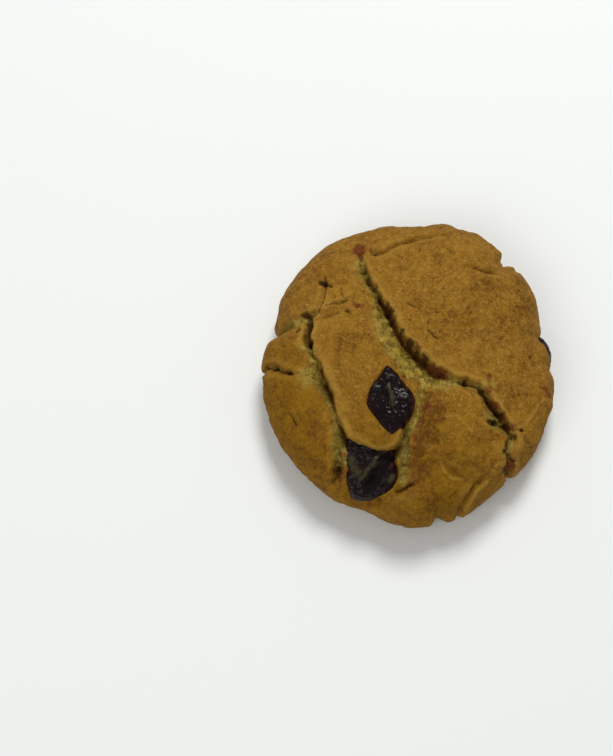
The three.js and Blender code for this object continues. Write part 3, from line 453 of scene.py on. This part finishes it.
def smooth(t):
    """0 to 1 with a gentle start and end."""
    t = np.clip(t, 0, 1)
    return t * t * (3 - 2 * t)


def rise(value, low, high):
    """0 up to `low`, 1 from `high` on, and smooth between them."""
    return smooth((value - low) / (high - low))


def mix(a, b, t):
    """From a, where t is 0, to b, where it is 1."""
    return a + (b - a) * t


def random3(i, j, k):
    """A repeatable random number from 0 to 1 for each lattice point."""
    wave = np.sin(i * HASH[0] + j * HASH[1] + k * HASH[2]) * HASH_SCALE
    return wave - np.floor(wave)


def noise(x, y, z):
    """Smooth noise from -1 to 1, with lumps about one unit across."""
    i, j, k = np.floor(x), np.floor(y), np.floor(z)
    u, v, w = smooth(x - i), smooth(y - j), smooth(z - k)

    def edge(dj, dk):
        return mix(random3(i, j + dj, k + dk), random3(i + 1, j + dj, k + dk), u)

    return 2 * mix(mix(edge(0, 0), edge(1, 0), v), mix(edge(0, 1), edge(1, 1), v), w) - 1


def lumps(kinds, x, y, z, seed=0):
    """How far the lumps of a list move a surface."""
    return sum(height * noise(x / size + seed, y / size, z / size) for size, height in kinds)


def wandering(kinds, x, y, z):
    """Points in plan, each moved by waves of noise."""
    seed_x, seed_y = WANDER_SEEDS
    return x + lumps(kinds, x, y, z, seed_x), y + lumps(kinds, x, y, z, seed_y)


def local(x, y, cx, cy, rx, ry, turn=0):
    """A point's place in a patch's own axes, as shares of its half lengths."""
    c, s = math.cos(math.radians(turn)), math.sin(math.radians(turn))
    return ((x - cx) * c + (y - cy) * s) / rx, ((y - cy) * c - (x - cx) * s) / ry


def patches(x, y, spots):
    """The sum of some soft-edged oval patches."""
    total = 0
    for cx, cy, rx, ry, strength, *turn in spots:
        u, v = local(x, y, cx, cy, rx, ry, *turn)
        total = total + strength * np.exp(-((u * u + v * v) ** PATCH_EDGE))
    return total


def outline_share(u, v, power):
    """How far out a point lies, as a share of the outline's reach there."""
    return (np.abs(u) ** power + np.abs(v) ** power) ** (1 / power)


def beside(x, y, start, end):
    """Each point's nearest place on a stretch of line, as a share of it, and the offset from there."""
    (ax, ay, *_), (bx, by, *_) = start, end
    dx, dy = bx - ax, by - ay
    t = np.clip(((x - ax) * dx + (y - ay) * dy) / (dx * dx + dy * dy), 0, 1)
    return t, x - ax - t * dx, y - ay - t * dy


def line_distance(x, y, points):
    """Each point's distance from a line."""
    nearest = np.full(x.shape, np.inf)
    for start, end in zip(points, points[1:]):
        _, off_x, off_y = beside(x, y, start, end)
        nearest = np.minimum(nearest, np.hypot(off_x, off_y))
    return nearest


def along_lines(x, y, lines):
    """The highest of some rounded ridges, each (height, half width, line), and 0 away from them all."""
    ridges = [height * (1 - smooth(line_distance(x, y, line) / half)) for height, half, line in lines]
    return np.max(ridges, axis=0)


def at_spots(x, y, spots):
    """The highest of some round bumps, each (x, y, radius, height), and 0 away from them all."""
    bumps = [height * (1 - smooth(np.hypot(x - cx, y - cy) / radius)) for cx, cy, radius, height in spots]
    return np.max(bumps, axis=0)


# ---- The dough's form ----


def ring_radius(share, angle):
    """The radius at a share of the bulge's: a closed Catmull-Rom line through OUTLINE, less its notches."""
    count = len(OUTLINE)
    radii = np.array(OUTLINE, float)
    turns = np.degrees(angle) % 360
    i = np.floor(turns * count / 360).astype(int)
    t = turns * count / 360 - i
    a, b, c, d = (radii[(i + o) % count] for o in (-1, 0, 1, 2))
    radius = b + 0.5 * t * (c - a + t * (2 * a - 5 * b + 4 * c - d + t * (3 * (b - c) + d - a)))
    for middle, depth, clockwise, anticlockwise in NOTCHES:
        off = (turns - middle + 180) % 360 - 180
        reach = np.where(off < 0, clockwise, anticlockwise)
        cut = depth * (1 - smooth(np.abs(off) / reach))
        radius = radius - cut * smooth((share - 1 + NOTCH_REACH) / NOTCH_REACH)
    return share * radius


def dome_height(x, y):
    """The dome's height over a point in plan, without its notches and its relief."""
    whole = ring_radius(1 - NOTCH_REACH, np.arctan2(y, x)) / (1 - NOTCH_REACH)
    share = np.clip(np.hypot(x, y) / whole, 0, 1)
    return BULGE_HEIGHT + (HEIGHT - BULGE_HEIGHT) * np.sqrt(1 - share**DOME_POWER)


def stretch_stations(r, z, count):
    """Even stations along a stretch of the cross-section: r, z and the outward normal of each."""
    steps = np.hypot(np.diff(r), np.diff(z))
    along = np.concatenate([[0], np.cumsum(steps)])
    wanted = np.linspace(0, along[-1], count + 1)[1:]
    i = np.clip(np.searchsorted(along, wanted), 1, len(r) - 1)
    normal_r = -(z[i] - z[i - 1]) / steps[i - 1]
    normal_z = (r[i] - r[i - 1]) / steps[i - 1]
    return np.column_stack([np.interp(wanted, along, r), np.interp(wanted, along, z), normal_r, normal_z])


def section_stations():
    """The cross-section from the middle of the top to the base's edge, with r as a share of the radius."""
    radius = sum(OUTLINE) / len(OUTLINE)
    a = np.linspace(0, math.pi / 2, PROFILE_STEPS + 1)
    dome_r = radius * np.sin(a) ** (2 / DOME_POWER)
    dome_z = BULGE_HEIGHT + (HEIGHT - BULGE_HEIGHT) * np.cos(a)
    heel_r = radius - HEEL_INSET * (1 - np.cos(a))
    heel_z = BULGE_HEIGHT * (1 - np.sin(a))
    middle = np.array([[0, HEIGHT, 0, 1]])
    dome = stretch_stations(dome_r, dome_z, DOME_RINGS)
    stations = np.vstack([middle, dome, stretch_stations(heel_r, heel_z, HEEL_RINGS)])
    stations[:, 0] /= radius
    return stations


def crack_at(points, x, y, uneven):
    """For each point: the crack's depth there, and how much its broken wall's painted shade and its raised
    lip count.

    `uneven` is what the reach of the crumb's slopes is multiplied by at each point.
    """
    nearest = np.full(x.shape, np.inf)
    depth, wall_shade, lip = np.zeros((3, *x.shape))
    for start, end in zip(points, points[1:]):
        t, off_x, off_y = beside(x, y, start, end)
        distance = np.hypot(off_x, off_y)
        closer = distance < nearest
        on_left = (end[0] - start[0]) * off_y - (end[1] - start[1]) * off_x > 0
        line_depth, left, right = (mix(start[i], end[i], t) for i in (2, 3, 4))
        reach = np.where(on_left, left, right)
        steep = reach < STEEP_REACH
        reach = np.where(steep, reach, reach * uneven)
        # A steep wall's painted shade covers the wall; a slope of crumb has it only at its foot.
        wall_shade_width = np.where(steep, reach, WALL_FOOT)
        wall_shade_here = rise(line_depth, *WALL_DARKENS) * (1 - smooth(distance / wall_shade_width))
        off_crest = (distance - reach - LIP_SETBACK) / LIP_WIDTH
        lip_here = np.clip(line_depth / WHOLE_LIP_DEPTH, 0, 1) * np.exp(-(off_crest**2))
        depth = np.where(closer, line_depth * (1 - smooth(distance / reach)), depth)
        wall_shade = np.where(closer, wall_shade_here, wall_shade)
        lip = np.where(closer & steep, lip_here, np.where(closer, 0, lip))
        nearest = np.where(closer, distance, nearest)
    return depth, wall_shade, lip


def cracks_at(x, y, uneven):
    """All the cracks at each point: how deep, how deep in torn crumb, and how much the walls' painted shade
    and the lip count.
    """
    deepest, torn, wall_shade, lip = np.zeros((4, *x.shape))
    for crack in CRACKS.values():
        depth_here, wall_shade_here, lip_here = crack_at(crack["points"], x, y, uneven)
        deepest += depth_here**CRACK_BLEND
        torn += (depth_here * crack["crumb"]) ** CRACK_BLEND
        wall_shade = np.maximum(wall_shade, wall_shade_here)
        lip = np.maximum(lip, lip_here)
    return deepest ** (1 / CRACK_BLEND), torn ** (1 / CRACK_BLEND), wall_shade, lip


def fruit_pockets(x, y):
    """How far the dough dips under the pieces of fruit in its top."""
    dip = np.zeros(x.shape)
    for piece in FRUIT.values():
        u, v = local(x, y, piece["x"], piece["y"], piece["half"][0], piece["half"][1], piece["turn"])
        share = outline_share(u, v, piece["power"])
        inside = 1 - smooth((share - POCKET_EDGE) / POCKET_SLOPE)
        dip = np.maximum(dip, piece["pocket"] * inside)
    return dip


def relief(plan_x, plan_y, z):
    """How far the dough's surface moves outwards, and the masks of what it shows there."""
    x, y = wandering(RAGGED, plan_x, plan_y, z)
    uneven = 1 + lumps(UNEVEN, plan_x, plan_y, z, UNEVEN_SEED)
    deepest, torn, wall_shade, lip = cracks_at(x, y, uneven)
    # The marks are small, so they wander less than the cracks do.
    mark_x, mark_y = (plan_x + x) / 2, (plan_y + y) / 2
    pits = at_spots(mark_x, mark_y, PITS)
    creases = along_lines(mark_x, mark_y, CREASES)
    ridges = along_lines(mark_x, mark_y, RIDGES)
    lumpy = noise(plan_x / CRUMB_LUMPS, plan_y / CRUMB_LUMPS, z / CRUMB_LUMPS + CRUMB_LUMPS_SEED)
    crumbs = at_spots(x, y, CRUMBS) * (CRUMB_HEIGHT + CRUMB_HEIGHT_SWING * lumpy)
    on_crumbs = smooth(crumbs / WHOLE_CRUMB_HEIGHT)
    beside_crumbs = 1 - smooth(crumbs / COVERING_CRUMB_HEIGHT)
    # Painted shade in the crevices, hidden where a loose crumb covers it.
    crevice_shade = np.clip(patches(x, y, CREVICE_SHADE), 0, MOST_MARKED) * beside_crumbs
    crumb = np.maximum(rise(torn, *CRUMB_OPENS), on_crumbs)
    bare = np.clip(torn / CRUMB_SHOWS + on_crumbs + patches(x, y, BARE), 0, 1)
    crust_grain = lumps(CRUST_GRAIN, plan_x, plan_y, z, CRUST_SEED)
    crumb_grain = lumps(CRUMB_GRAIN, plan_x, plan_y, z, CRUMB_SEED)
    height = patches(x, y, SWELLINGS.values())
    height = height - deepest - pits - creases + ridges + crumbs
    height = height + LIP_HEIGHT * lip * (1 - crumb) + mix(crust_grain, crumb_grain, crumb)
    height = height - CREVICE_SHADE_DEPTH * crevice_shade - fruit_pockets(plan_x, plan_y)
    patch_x, patch_y = wandering(PATCHY, plan_x, plan_y, z)
    masks = {
        "crumb": crumb,
        "bare": bare,
        # Painted shade on the broken walls and at their feet.
        "wall_shade": wall_shade * beside_crumbs,
        # Painted shade in pits and creases, as deep as they are.
        "slit_shade": np.clip(pits / SLIT_SHADE_DEPTH + creases / SLIT_SHADE_DEPTH, 0, MOST_SLIT_SHADE),
        "crevice_shade": crevice_shade,
        # Painted shade: the crumb darkens with the crack's depth.
        "depth": np.clip(deepest / DARKEST_SHADE_DEPTH, 0, 1),
        # Painted highlight along the raised lips and ridges.
        "ridge_highlight": np.clip(lip * (1 - crumb) + ridges / HIGHLIGHT_RIDGE_HEIGHT, 0, 1),
        "toasted": patches(patch_x, patch_y, TOASTED),
        # Painted shade on the side turned from the light.
        "shaded_side": np.clip(patches(patch_x, patch_y, SHADED_SIDE), 0, 1),
        # Painted shade: olive crumb along the cracks and valleys.
        "olive_shade": np.clip(patches(patch_x, patch_y, OLIVE_SHADE), 0, 1),
        "lump": smooth(crumbs / YELLOW_CRUMB_HEIGHT),
        "stain": np.clip(patches(x, y, STAINS), 0, MOST_MARKED),
        "base": np.zeros(x.shape),
    }
    return height, masks


# ---- Meshes ----


def zip_rings(inner, outer):
    """Triangles between two rings of points, each (first, count), that face up or out."""
    (first_in, count_in), (first_out, count_out) = inner, outer
    triangles = []
    i = o = 0
    while i < count_in or o < count_out:
        a, b = first_in + i % count_in, first_out + o % count_out
        if (i + 0.5) / count_in <= (o + 0.5) / count_out:
            i += 1
            triangles.append((a, b, first_in + i % count_in))
        else:
            o += 1
            triangles.append((a, b, first_out + o % count_out))
    return triangles


def new_piece(name, vertices, triangles, material, node):
    """A smooth-shaded mesh in metres that rides on the body and stands for a node."""
    mesh = bpy.data.meshes.new(name)
    mesh.from_pydata((vertices * MM).tolist(), [], triangles)
    mesh.shade_smooth()
    piece = bpy.data.objects.new(name, mesh)
    bpy.context.scene.collection.objects.link(piece)
    mesh.materials.append(material)
    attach(piece, "root")
    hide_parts(node)
    return piece


def add_mask(piece, name, values):
    """A number for each point of a piece, which its material reads by name."""
    attribute = piece.data.attributes.new(name, "FLOAT", "POINT")
    attribute.data.foreach_set("value", np.ascontiguousarray(values, dtype=np.float32))


def close_base(vertices, triangles, rim):
    """The mesh with its base: rings inside `rim`, each with fewer points, on to a point in the middle."""
    first = len(vertices)
    rim_points = vertices[rim[0] :]
    for k in range(BASE_RINGS - 1, 0, -1):
        share = k / BASE_RINGS
        count = len(rim_points) * k // BASE_RINGS
        pick = np.arange(count) * len(rim_points) // count
        ring = (len(vertices), count)
        vertices = np.vstack([vertices, rim_points[pick] * (share, share, 0)])
        triangles = triangles + [(a, c, b) for a, b, c in zip_rings(ring, rim)]
        rim = ring
    middle = len(vertices)
    vertices = np.vstack([vertices, (0, 0, 0)])
    triangles = triangles + [(middle, rim[0] + (i + 1) % rim[1], rim[0] + i) for i in range(rim[1])]
    base = vertices[first:]
    pores = lumps(BASE_PORES, base[:, 0], base[:, 1], np.zeros(len(base)), PORES_SEED)
    base[:, 2] = np.maximum(pores - BASE_FLAT, 0)
    return vertices, triangles


def make_dough(material):
    """The dough's closed mesh, with the masks that its material reads."""
    stations = section_stations()
    counts = [SPOKES * min(k, DOME_RINGS) for k in range(1, len(stations))]
    station_of = np.concatenate([[0], np.repeat(np.arange(1, len(stations)), counts)])
    angle = np.concatenate([[0]] + [np.arange(count) * 2 * math.pi / count for count in counts])
    share, z, normal_r, normal_z = stations[station_of].T
    radius = ring_radius(share, angle)
    x, y = radius * np.cos(angle), radius * np.sin(angle)
    out, masks = relief(x, y, z)
    out = (out + lumps(DOUGH_LUMPS, x, y, z)) * smooth(z / BASE_FADE)
    spread = 1 + normal_r * out / np.maximum(radius, LEAST_RADIUS)
    vertices = np.column_stack([x * spread, y * spread, z + normal_z * out])

    rings = [(1 + sum(counts[:k]), count) for k, count in enumerate(counts)]
    triangles = [(0, 1 + i, 1 + (i + 1) % SPOKES) for i in range(SPOKES)]
    for inner, outer in zip(rings, rings[1:]):
        triangles += zip_rings(inner, outer)
    top_count = len(vertices)
    vertices, triangles = close_base(vertices, triangles, rings[-1])

    dough = new_piece("dough_baked", vertices, triangles, material, "dough")
    for name, values in masks.items():
        under = np.full(len(vertices) - top_count, float(name == "base"))
        add_mask(dough, name, np.concatenate([values, under]))


def unit_ball():
    """A ball's points, of radius 1, and its triangles."""
    bpy.ops.mesh.primitive_ico_sphere_add(subdivisions=FRUIT_SUBDIVISIONS, radius=1)
    ball = bpy.context.object
    points = np.array([v.co for v in ball.data.vertices])
    triangles = [tuple(f.vertices) for f in ball.data.polygons]
    bpy.data.objects.remove(ball)
    return points, triangles


def fruit_stance(piece):
    """How a piece of fruit is turned and leans with the dough's surface, and its middle's height."""
    cx, cy = piece["x"], piece["y"]
    lean = Matrix.Identity(3)
    middle = piece.get("height")
    if middle is None:
        fall_x = dome_height(cx - 1, cy) - dome_height(cx + 1, cy)
        fall_y = dome_height(cx, cy - 1) - dome_height(cx, cy + 1)
        up = Vector((fall_x, fall_y, 2))
        lean = Vector((0, 0, 1)).rotation_difference(up.normalized()).to_matrix()
        middle = float(dome_height(cx, cy)) - piece["depth"]
    return np.array(lean @ Matrix.Rotation(math.radians(piece["turn"]), 3, "Z")), middle


def make_fruit(node, material):
    """One piece of fruit: a ball drawn out to its outline and wrinkled, with its hollows and stuck crumb."""
    piece = FRUIT[node]
    half, power, seed = piece["half"], piece["power"], piece["seed"]
    p, triangles = unit_ball()
    flat = np.maximum(np.hypot(p[:, 0], p[:, 1]), TINY)
    rim = np.maximum(outline_share(p[:, 0] / flat, p[:, 1] / flat, power), TINY)
    at = p * half
    swell = 1 + lumps(FRUIT_LUMPS, *at.T, seed) / half[2]
    fullness = np.maximum(flat, np.abs(p[:, 2])) ** -piece["cushion"]
    shape = at * (swell * fullness)[:, None]
    shape[:, :2] /= rim[:, None]
    stance, middle = fruit_stance(piece)
    plan = shape @ stance.T + (piece["x"], piece["y"], 0)
    top = smooth(p[:, 2] / FRUIT_TOP)
    crumb = top * along_lines(plan[:, 0], plan[:, 1], [(1, *line) for line in STUCK_CRUMB])
    hollow = top * along_lines(plan[:, 0], plan[:, 1], FRUIT_HOLLOWS)
    in_hollow = smooth(hollow / WHOLE_HOLLOW_DEPTH)
    wrinkles = np.abs(lumps(FRUIT_WRINKLES, *at.T, seed + WRINKLES_SEED)) * (1 - in_hollow)
    sunk = wrinkles + hollow - STUCK_CRUMB_HEIGHT * crumb
    shape *= (1 - sunk / np.linalg.norm(shape, axis=1))[:, None]
    vertices = shape @ stance.T + (piece["x"], piece["y"], middle)
    fruit = new_piece(node + "_flesh", vertices, triangles, material, node)
    add_mask(fruit, "edge", smooth((flat - FRUIT_EDGE_FROM) / FRUIT_EDGE_WIDTH))
    add_mask(fruit, "crumb", crumb)
    add_mask(fruit, "hollow", in_hollow)
    add_mask(fruit, "sugar_sheen", np.full(len(p), piece["sugar_sheen"]))


# ---- Materials ----


class Nodes:
    """Short calls for building one material's node tree."""

    def __init__(self, name):
        self.material = bpy.data.materials.new(name)
        self.material.use_nodes = True
        self.tree = self.material.node_tree
        self.shader = self.tree.nodes["Principled BSDF"]
        self.coordinates = self.tree.nodes.new("ShaderNodeTexCoord").outputs["Object"]

    def link(self, source, target):
        self.tree.links.new(source, target)

    def mask(self, name):
        node = self.tree.nodes.new("ShaderNodeAttribute")
        node.attribute_name = name
        return node.outputs["Fac"]

    def noise(self, size, detail, roughness, seed):
        """Noise from 0 to 1, with lumps `size` millimetres across."""
        node = self.tree.nodes.new("ShaderNodeTexNoise")
        node.noise_dimensions = "4D"
        node.inputs["W"].default_value = seed
        node.inputs["Scale"].default_value = 1 / (size * MM)
        node.inputs["Detail"].default_value = detail
        node.inputs["Roughness"].default_value = roughness
        self.link(self.coordinates, node.inputs["Vector"])
        return node.outputs["Fac"]

    def layer(self, name):
        return self.noise(*LAYERS[name])

    def ragged(self, name):
        """A layer moved to -0.5 to 0.5, for a ragged edge."""
        return self.math("SUBTRACT", self.layer(name), 0.5)

    def math(self, operation, a, b):
        node = self.tree.nodes.new("ShaderNodeMath")
        node.operation = operation
        for socket, value in zip(node.inputs, (a, b)):
            if isinstance(value, (int, float)):
                socket.default_value = value
            else:
                self.link(value, socket)
        return node.outputs[0]

    def scaled(self, value, factor):
        return self.math("MULTIPLY", value, factor)

    def sum(self, first, *others):
        for other in others:
            first = self.math("ADD", first, other)
        return first

    def ramp(self, value, low, high, out_low=0.0, out_high=1.0):
        """Runs smoothly from out_low to out_high while the value goes from low to high."""
        node = self.tree.nodes.new("ShaderNodeMapRange")
        node.interpolation_type = "SMOOTHSTEP"
        limits = {"From Min": low, "From Max": high, "To Min": out_low, "To Max": out_high}
        for name, number in limits.items():
            node.inputs[name].default_value = number
        self.link(value, node.inputs["Value"])
        return node.outputs["Result"]

    def blend(self, factor, a, b):
        """From the colour a, where the factor is 0, to b, where it is 1."""
        node = self.tree.nodes.new("ShaderNodeMix")
        node.data_type = "RGBA"
        self.link(factor, node.inputs["Factor"])
        for socket, value in zip(node.inputs[6:8], (a, b)):
            if isinstance(value, tuple):
                socket.default_value = (*value, 1)
            else:
                self.link(value, socket)
        return node.outputs[2]

    def bump(self, height, distance, strength, normal=None):
        """The surface's tilt, as if it rose by `distance` millimetres while the height goes from 0 to 1."""
        node = self.tree.nodes.new("ShaderNodeBump")
        node.inputs["Distance"].default_value = distance * MM
        node.inputs["Strength"].default_value = strength
        self.link(height, node.inputs["Height"])
        if normal is not None:
            self.link(normal, node.inputs["Normal"])
        return node.outputs["Normal"]

    def finish(self, color, roughness, specular, normal):
        """The material, with what its shader needs."""
        self.link(color, self.shader.inputs["Base Color"])
        self.link(roughness, self.shader.inputs["Roughness"])
        self.link(normal, self.shader.inputs["Normal"])
        self.shader.inputs["Specular IOR Level"].default_value = specular
        return self.material


def crust_color(m):
    """Crust: golden, brown or toasted, in clouds and flecks. The clouds are strongest where it is toasted."""
    masks = {name: m.mask(name) for name in TONES}
    toasted, ridge_highlight, shaded_side = masks["toasted"], masks["ridge_highlight"], m.mask("shaded_side")
    kinds = [(m.noise(size, *CLOUD_NOISE, seed), power) for size, power, seed in MOTTLING]
    clouds = m.sum(*(m.scaled(cloud, power) for cloud, power in kinds))
    clouds = m.math("SUBTRACT", clouds, sum(power for _, power in kinds) / 2)
    clouds = m.math("MULTIPLY", clouds, m.ramp(toasted, 0, 1, 1, TOASTED_CLOUDS))
    tone = m.sum(clouds, *(m.scaled(mask, TONES[name]) for name, mask in masks.items()))
    crust = m.blend(m.ramp(tone, -0.5, 0.25), CRUST_GOLDEN, CRUST_BROWN)
    crust = m.blend(m.ramp(tone, 0.15, 0.9), crust, CRUST_TOASTED)
    # Painted shade on the side turned from the light: a deeper, darker yellow, toasted where the tone is
    # dark.
    shaded_crust = m.blend(m.ramp(tone, -0.6, 0.9), CRUST_SHADED_SIDE, CRUST_TOASTED)
    crust = m.blend(m.scaled(shaded_side, SHADED_SIDE_SHARE), crust, shaded_crust)
    pale = m.ramp(m.layer("pale flecks"), 0.5, 0.74)
    pale = m.math("MULTIPLY", pale, m.ramp(shaded_side, 0, 1, 0.55, 0.16))
    pale = m.math("MULTIPLY", pale, m.ramp(toasted, 0.2, 1.4, 1, 0.3))
    # Pale flecks, and the painted highlight on the lips and ridges.
    crust = m.blend(m.math("MAXIMUM", pale, m.scaled(ridge_highlight, HIGHLIGHT_SHARE)), crust, CRUST_PALE)
    return m.blend(m.ramp(m.layer("orange flecks"), 0.5, 0.72, 0, 0.65), crust, CRUST_ORANGE)


def crumb_color(m):
    """Crumb: yellow where it stands up, darkened by painted shade in its hollows and deep in the cracks, and
    olive where shade lies along cracks and valleys.
    """
    depth, olive_shade, lump = (m.mask(name) for name in ("depth", "olive_shade", "lump"))
    # Painted shade in the crumb's hollows and deep in the cracks.
    hollow_shade = m.sum(m.layer("crumb hollows"), m.layer("small hollows"), m.scaled(depth, DEPTH_SHADE))
    crumb = m.blend(m.ramp(hollow_shade, 0.85, 1.45), CRUMB_PALE, CRUMB_SHADOW)
    crumb = m.blend(m.ramp(m.layer("brown crumb"), 0.52, 0.72, 0, 0.5), crumb, CRUST_BROWN)
    crumb = m.blend(m.ramp(m.layer("bright crumb"), 0.5, 0.7, 0, 0.6), crumb, CRUMB_FLECK)
    # Olive crumb, darker in its hollows, as painted shade along the cracks and valleys.
    olive = m.blend(m.ramp(hollow_shade, 0.7, 1.2), CRUMB_GREEN, CRUMB_SHADOW)
    crumb = m.blend(m.scaled(olive_shade, OLIVE_SHADE_SHARE), crumb, olive)
    return m.blend(m.math("MULTIPLY", lump, m.ramp(olive_shade, 0, 1, 0.75, 0.2)), crumb, CRUMB_YELLOW)


def dough_material():
    """Crust and the crumb that shows in its tears, under the painted shade of the walls, crevices, pits and
    creases, and the stains.
    """
    m = Nodes("baked_dough")
    torn = m.sum(m.mask("bare"), m.ragged("torn edge"))
    color = m.blend(m.ramp(torn, 0.05, 0.75), crust_color(m), crumb_color(m))
    # Painted shade on the walls and at their feet: red-brown, then nearly black, in blotches.
    shade = m.sum(m.mask("wall_shade"), m.scaled(m.layer("wall_shade"), WALL_BLOTCHES))
    color = m.blend(m.ramp(shade, 0.95, 1.6, 0, 0.95), color, WALL_BROWN_SHADE)
    color = m.blend(m.ramp(shade, 1.3, 2, 0, 0.88), color, WALL_DEEP_SHADE)
    ragged = m.ragged("mark edge")
    wet = m.blend(m.ramp(m.layer("juice"), 0.38, 0.62), JUICE, JUICE_DARK)
    # The stains, and the painted shade in crevices, pits and creases.
    for name, mark in {"stain": wet, "crevice_shade": SPECK_SHADE, "slit_shade": SPECK_SHADE}.items():
        edge, whole, share = MARKS[name]
        shows = m.sum(m.mask(name), m.scaled(ragged, edge))
        color = m.blend(m.ramp(shows, 0.3, whole, 0, share), color, mark)
    crumb = m.mask("crumb")
    pores = m.bump(m.layer("pores"), 0.25, 0.9)
    grain = m.math("MULTIPLY", m.layer("grain"), m.ramp(crumb, 0, 1, 0.6, 1))
    roughness = m.ramp(crumb, 0, 1, CRUST_ROUGHNESS, CRUMB_ROUGHNESS)
    return m.finish(color, roughness, DOUGH_SPECULAR, m.bump(grain, 0.8, 0.9, pores))


def fruit_material():
    """Dark, sticky skin with a redder rim, dried sugar that is partly a painted sheen, and stuck crumb. Its
    hollows are plain, as painted shade, and duller.
    """
    m = Nodes("sticky_fruit")
    masks = {name: m.mask(name) for name in DULLS}
    edge, crumb, hollow = masks["edge"], masks["crumb"], masks["hollow"]
    outside_hollows = m.ramp(hollow, 0, 0.6, 1, 0)
    rim = m.math("MULTIPLY", m.ramp(edge, 0, 1, 0.1, 1), m.ramp(m.layer("fruit rim"), 0.42, 0.6))
    # The hollows keep the plain dark skin, without rim or sugar: painted shade.
    color = m.blend(m.math("MULTIPLY", rim, outside_hollows), FRUIT_SKIN, FRUIT_RIM)
    # Speckle of dried sugar, partly a painted sheen.
    sugar_sheen = m.math("MULTIPLY", m.ramp(m.layer("sugar_sheen"), 0.56, 0.72), m.mask("sugar_sheen"))
    color = m.blend(m.math("MULTIPLY", sugar_sheen, outside_hollows), color, FRUIT_SUGAR_SHEEN)
    stuck = m.math("MULTIPLY", crumb, m.ramp(m.layer("stuck crumb"), 0.36, 0.64, 0.25, 1))
    color = m.blend(m.ramp(stuck, 0.05, 0.8, 0, 0.65), color, FRUIT_CRUMB)
    roughness = m.ramp(m.layer("gloss"), 0.3, 0.7, *FRUIT_ROUGHNESS)
    roughness = m.sum(roughness, *(m.scaled(mask, DULLS[name]) for name, mask in masks.items()))
    grains = m.bump(m.math("MULTIPLY", m.layer("skin grains"), outside_hollows), 0.55, 0.55)
    return m.finish(color, roughness, FRUIT_SPECULAR, m.bump(m.layer("skin folds"), 0.8, 0.5, grains))


def floor_material():
    """A plain, pale floor."""
    m = Nodes("pale_floor")
    m.shader.inputs["Base Color"].default_value = FLOOR_COLOR
    m.shader.inputs["Roughness"].default_value = FLOOR_ROUGHNESS
    m.shader.inputs["Specular IOR Level"].default_value = FLOOR_SPECULAR
    return m.material


# ---- The studio ----


def make_floor():
    """The floor under the cookie."""
    bpy.ops.mesh.primitive_plane_add(size=FLOOR_SIZE, location=(0, 0, -FLOOR_DROP * MM))
    floor = bpy.context.object
    floor.name = "floor"
    floor.data.materials.append(floor_material())


def make_light(name, place, size, power):
    """A round soft light that faces the cookie."""
    data = bpy.data.lights.new(name, "AREA")
    data.shape = "DISK"
    data.size = size
    data.energy = power
    light = bpy.data.objects.new(name, data)
    light.location = place
    light.rotation_euler = (Vector(LIGHT_TARGET) - Vector(place)).to_track_quat("-Z", "Y").to_euler()
    bpy.context.scene.collection.objects.link(light)


def make_studio():
    """The floor, the lights and an even, white sky."""
    make_floor()
    for name, light in LIGHTS.items():
        make_light(name, **light)
    world = bpy.data.worlds.new("studio")
    world.use_nodes = True
    sky = world.node_tree.nodes["Background"]
    sky.inputs["Color"].default_value = (1, 1, 1, 1)
    sky.inputs["Strength"].default_value = SKY_STRENGTH
    bpy.context.scene.world = world
    bpy.context.scene.view_settings.view_transform = "Standard"


def make_camera():
    """A camera that looks past the cookie, so that the cookie lies right of the frame's middle."""
    elevation = math.radians(CAMERA_ELEVATION)
    back = Vector((0, -math.cos(elevation), math.sin(elevation)))
    right = Vector((1, 0, 0))
    up = back.cross(right)
    aim = Vector((0, 0, TARGET_HEIGHT))
    aim -= right * (TARGET_PIXEL[0] - FRAME_WIDTH / 2) / PIXELS_PER_MM
    aim += up * (TARGET_PIXEL[1] - FRAME_HEIGHT / 2) / PIXELS_PER_MM
    data = bpy.data.cameras.new("camera")
    data.sensor_width = SENSOR
    data.lens = CAMERA_DISTANCE * PIXELS_PER_MM * SENSOR / FRAME_HEIGHT
    data.clip_start = CLIP_START
    camera = bpy.data.objects.new("camera", data)
    axes = Matrix((right, up, back)).transposed()
    camera.matrix_world = axes.to_4x4()
    camera.location = (aim + back * CAMERA_DISTANCE) * MM
    bpy.context.scene.collection.objects.link(camera)
    bpy.context.scene.camera = camera


# ---- The cookie ----

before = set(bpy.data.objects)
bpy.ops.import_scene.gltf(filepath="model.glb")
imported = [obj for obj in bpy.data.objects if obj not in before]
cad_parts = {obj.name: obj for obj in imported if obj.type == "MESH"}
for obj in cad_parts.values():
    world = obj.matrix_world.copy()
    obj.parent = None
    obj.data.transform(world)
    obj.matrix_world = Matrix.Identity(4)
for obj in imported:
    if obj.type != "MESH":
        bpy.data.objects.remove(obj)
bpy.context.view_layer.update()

make_dough(dough_material())
sticky = fruit_material()
for fruit_node in FRUIT:
    make_fruit(fruit_node, sticky)
make_studio()
make_camera()
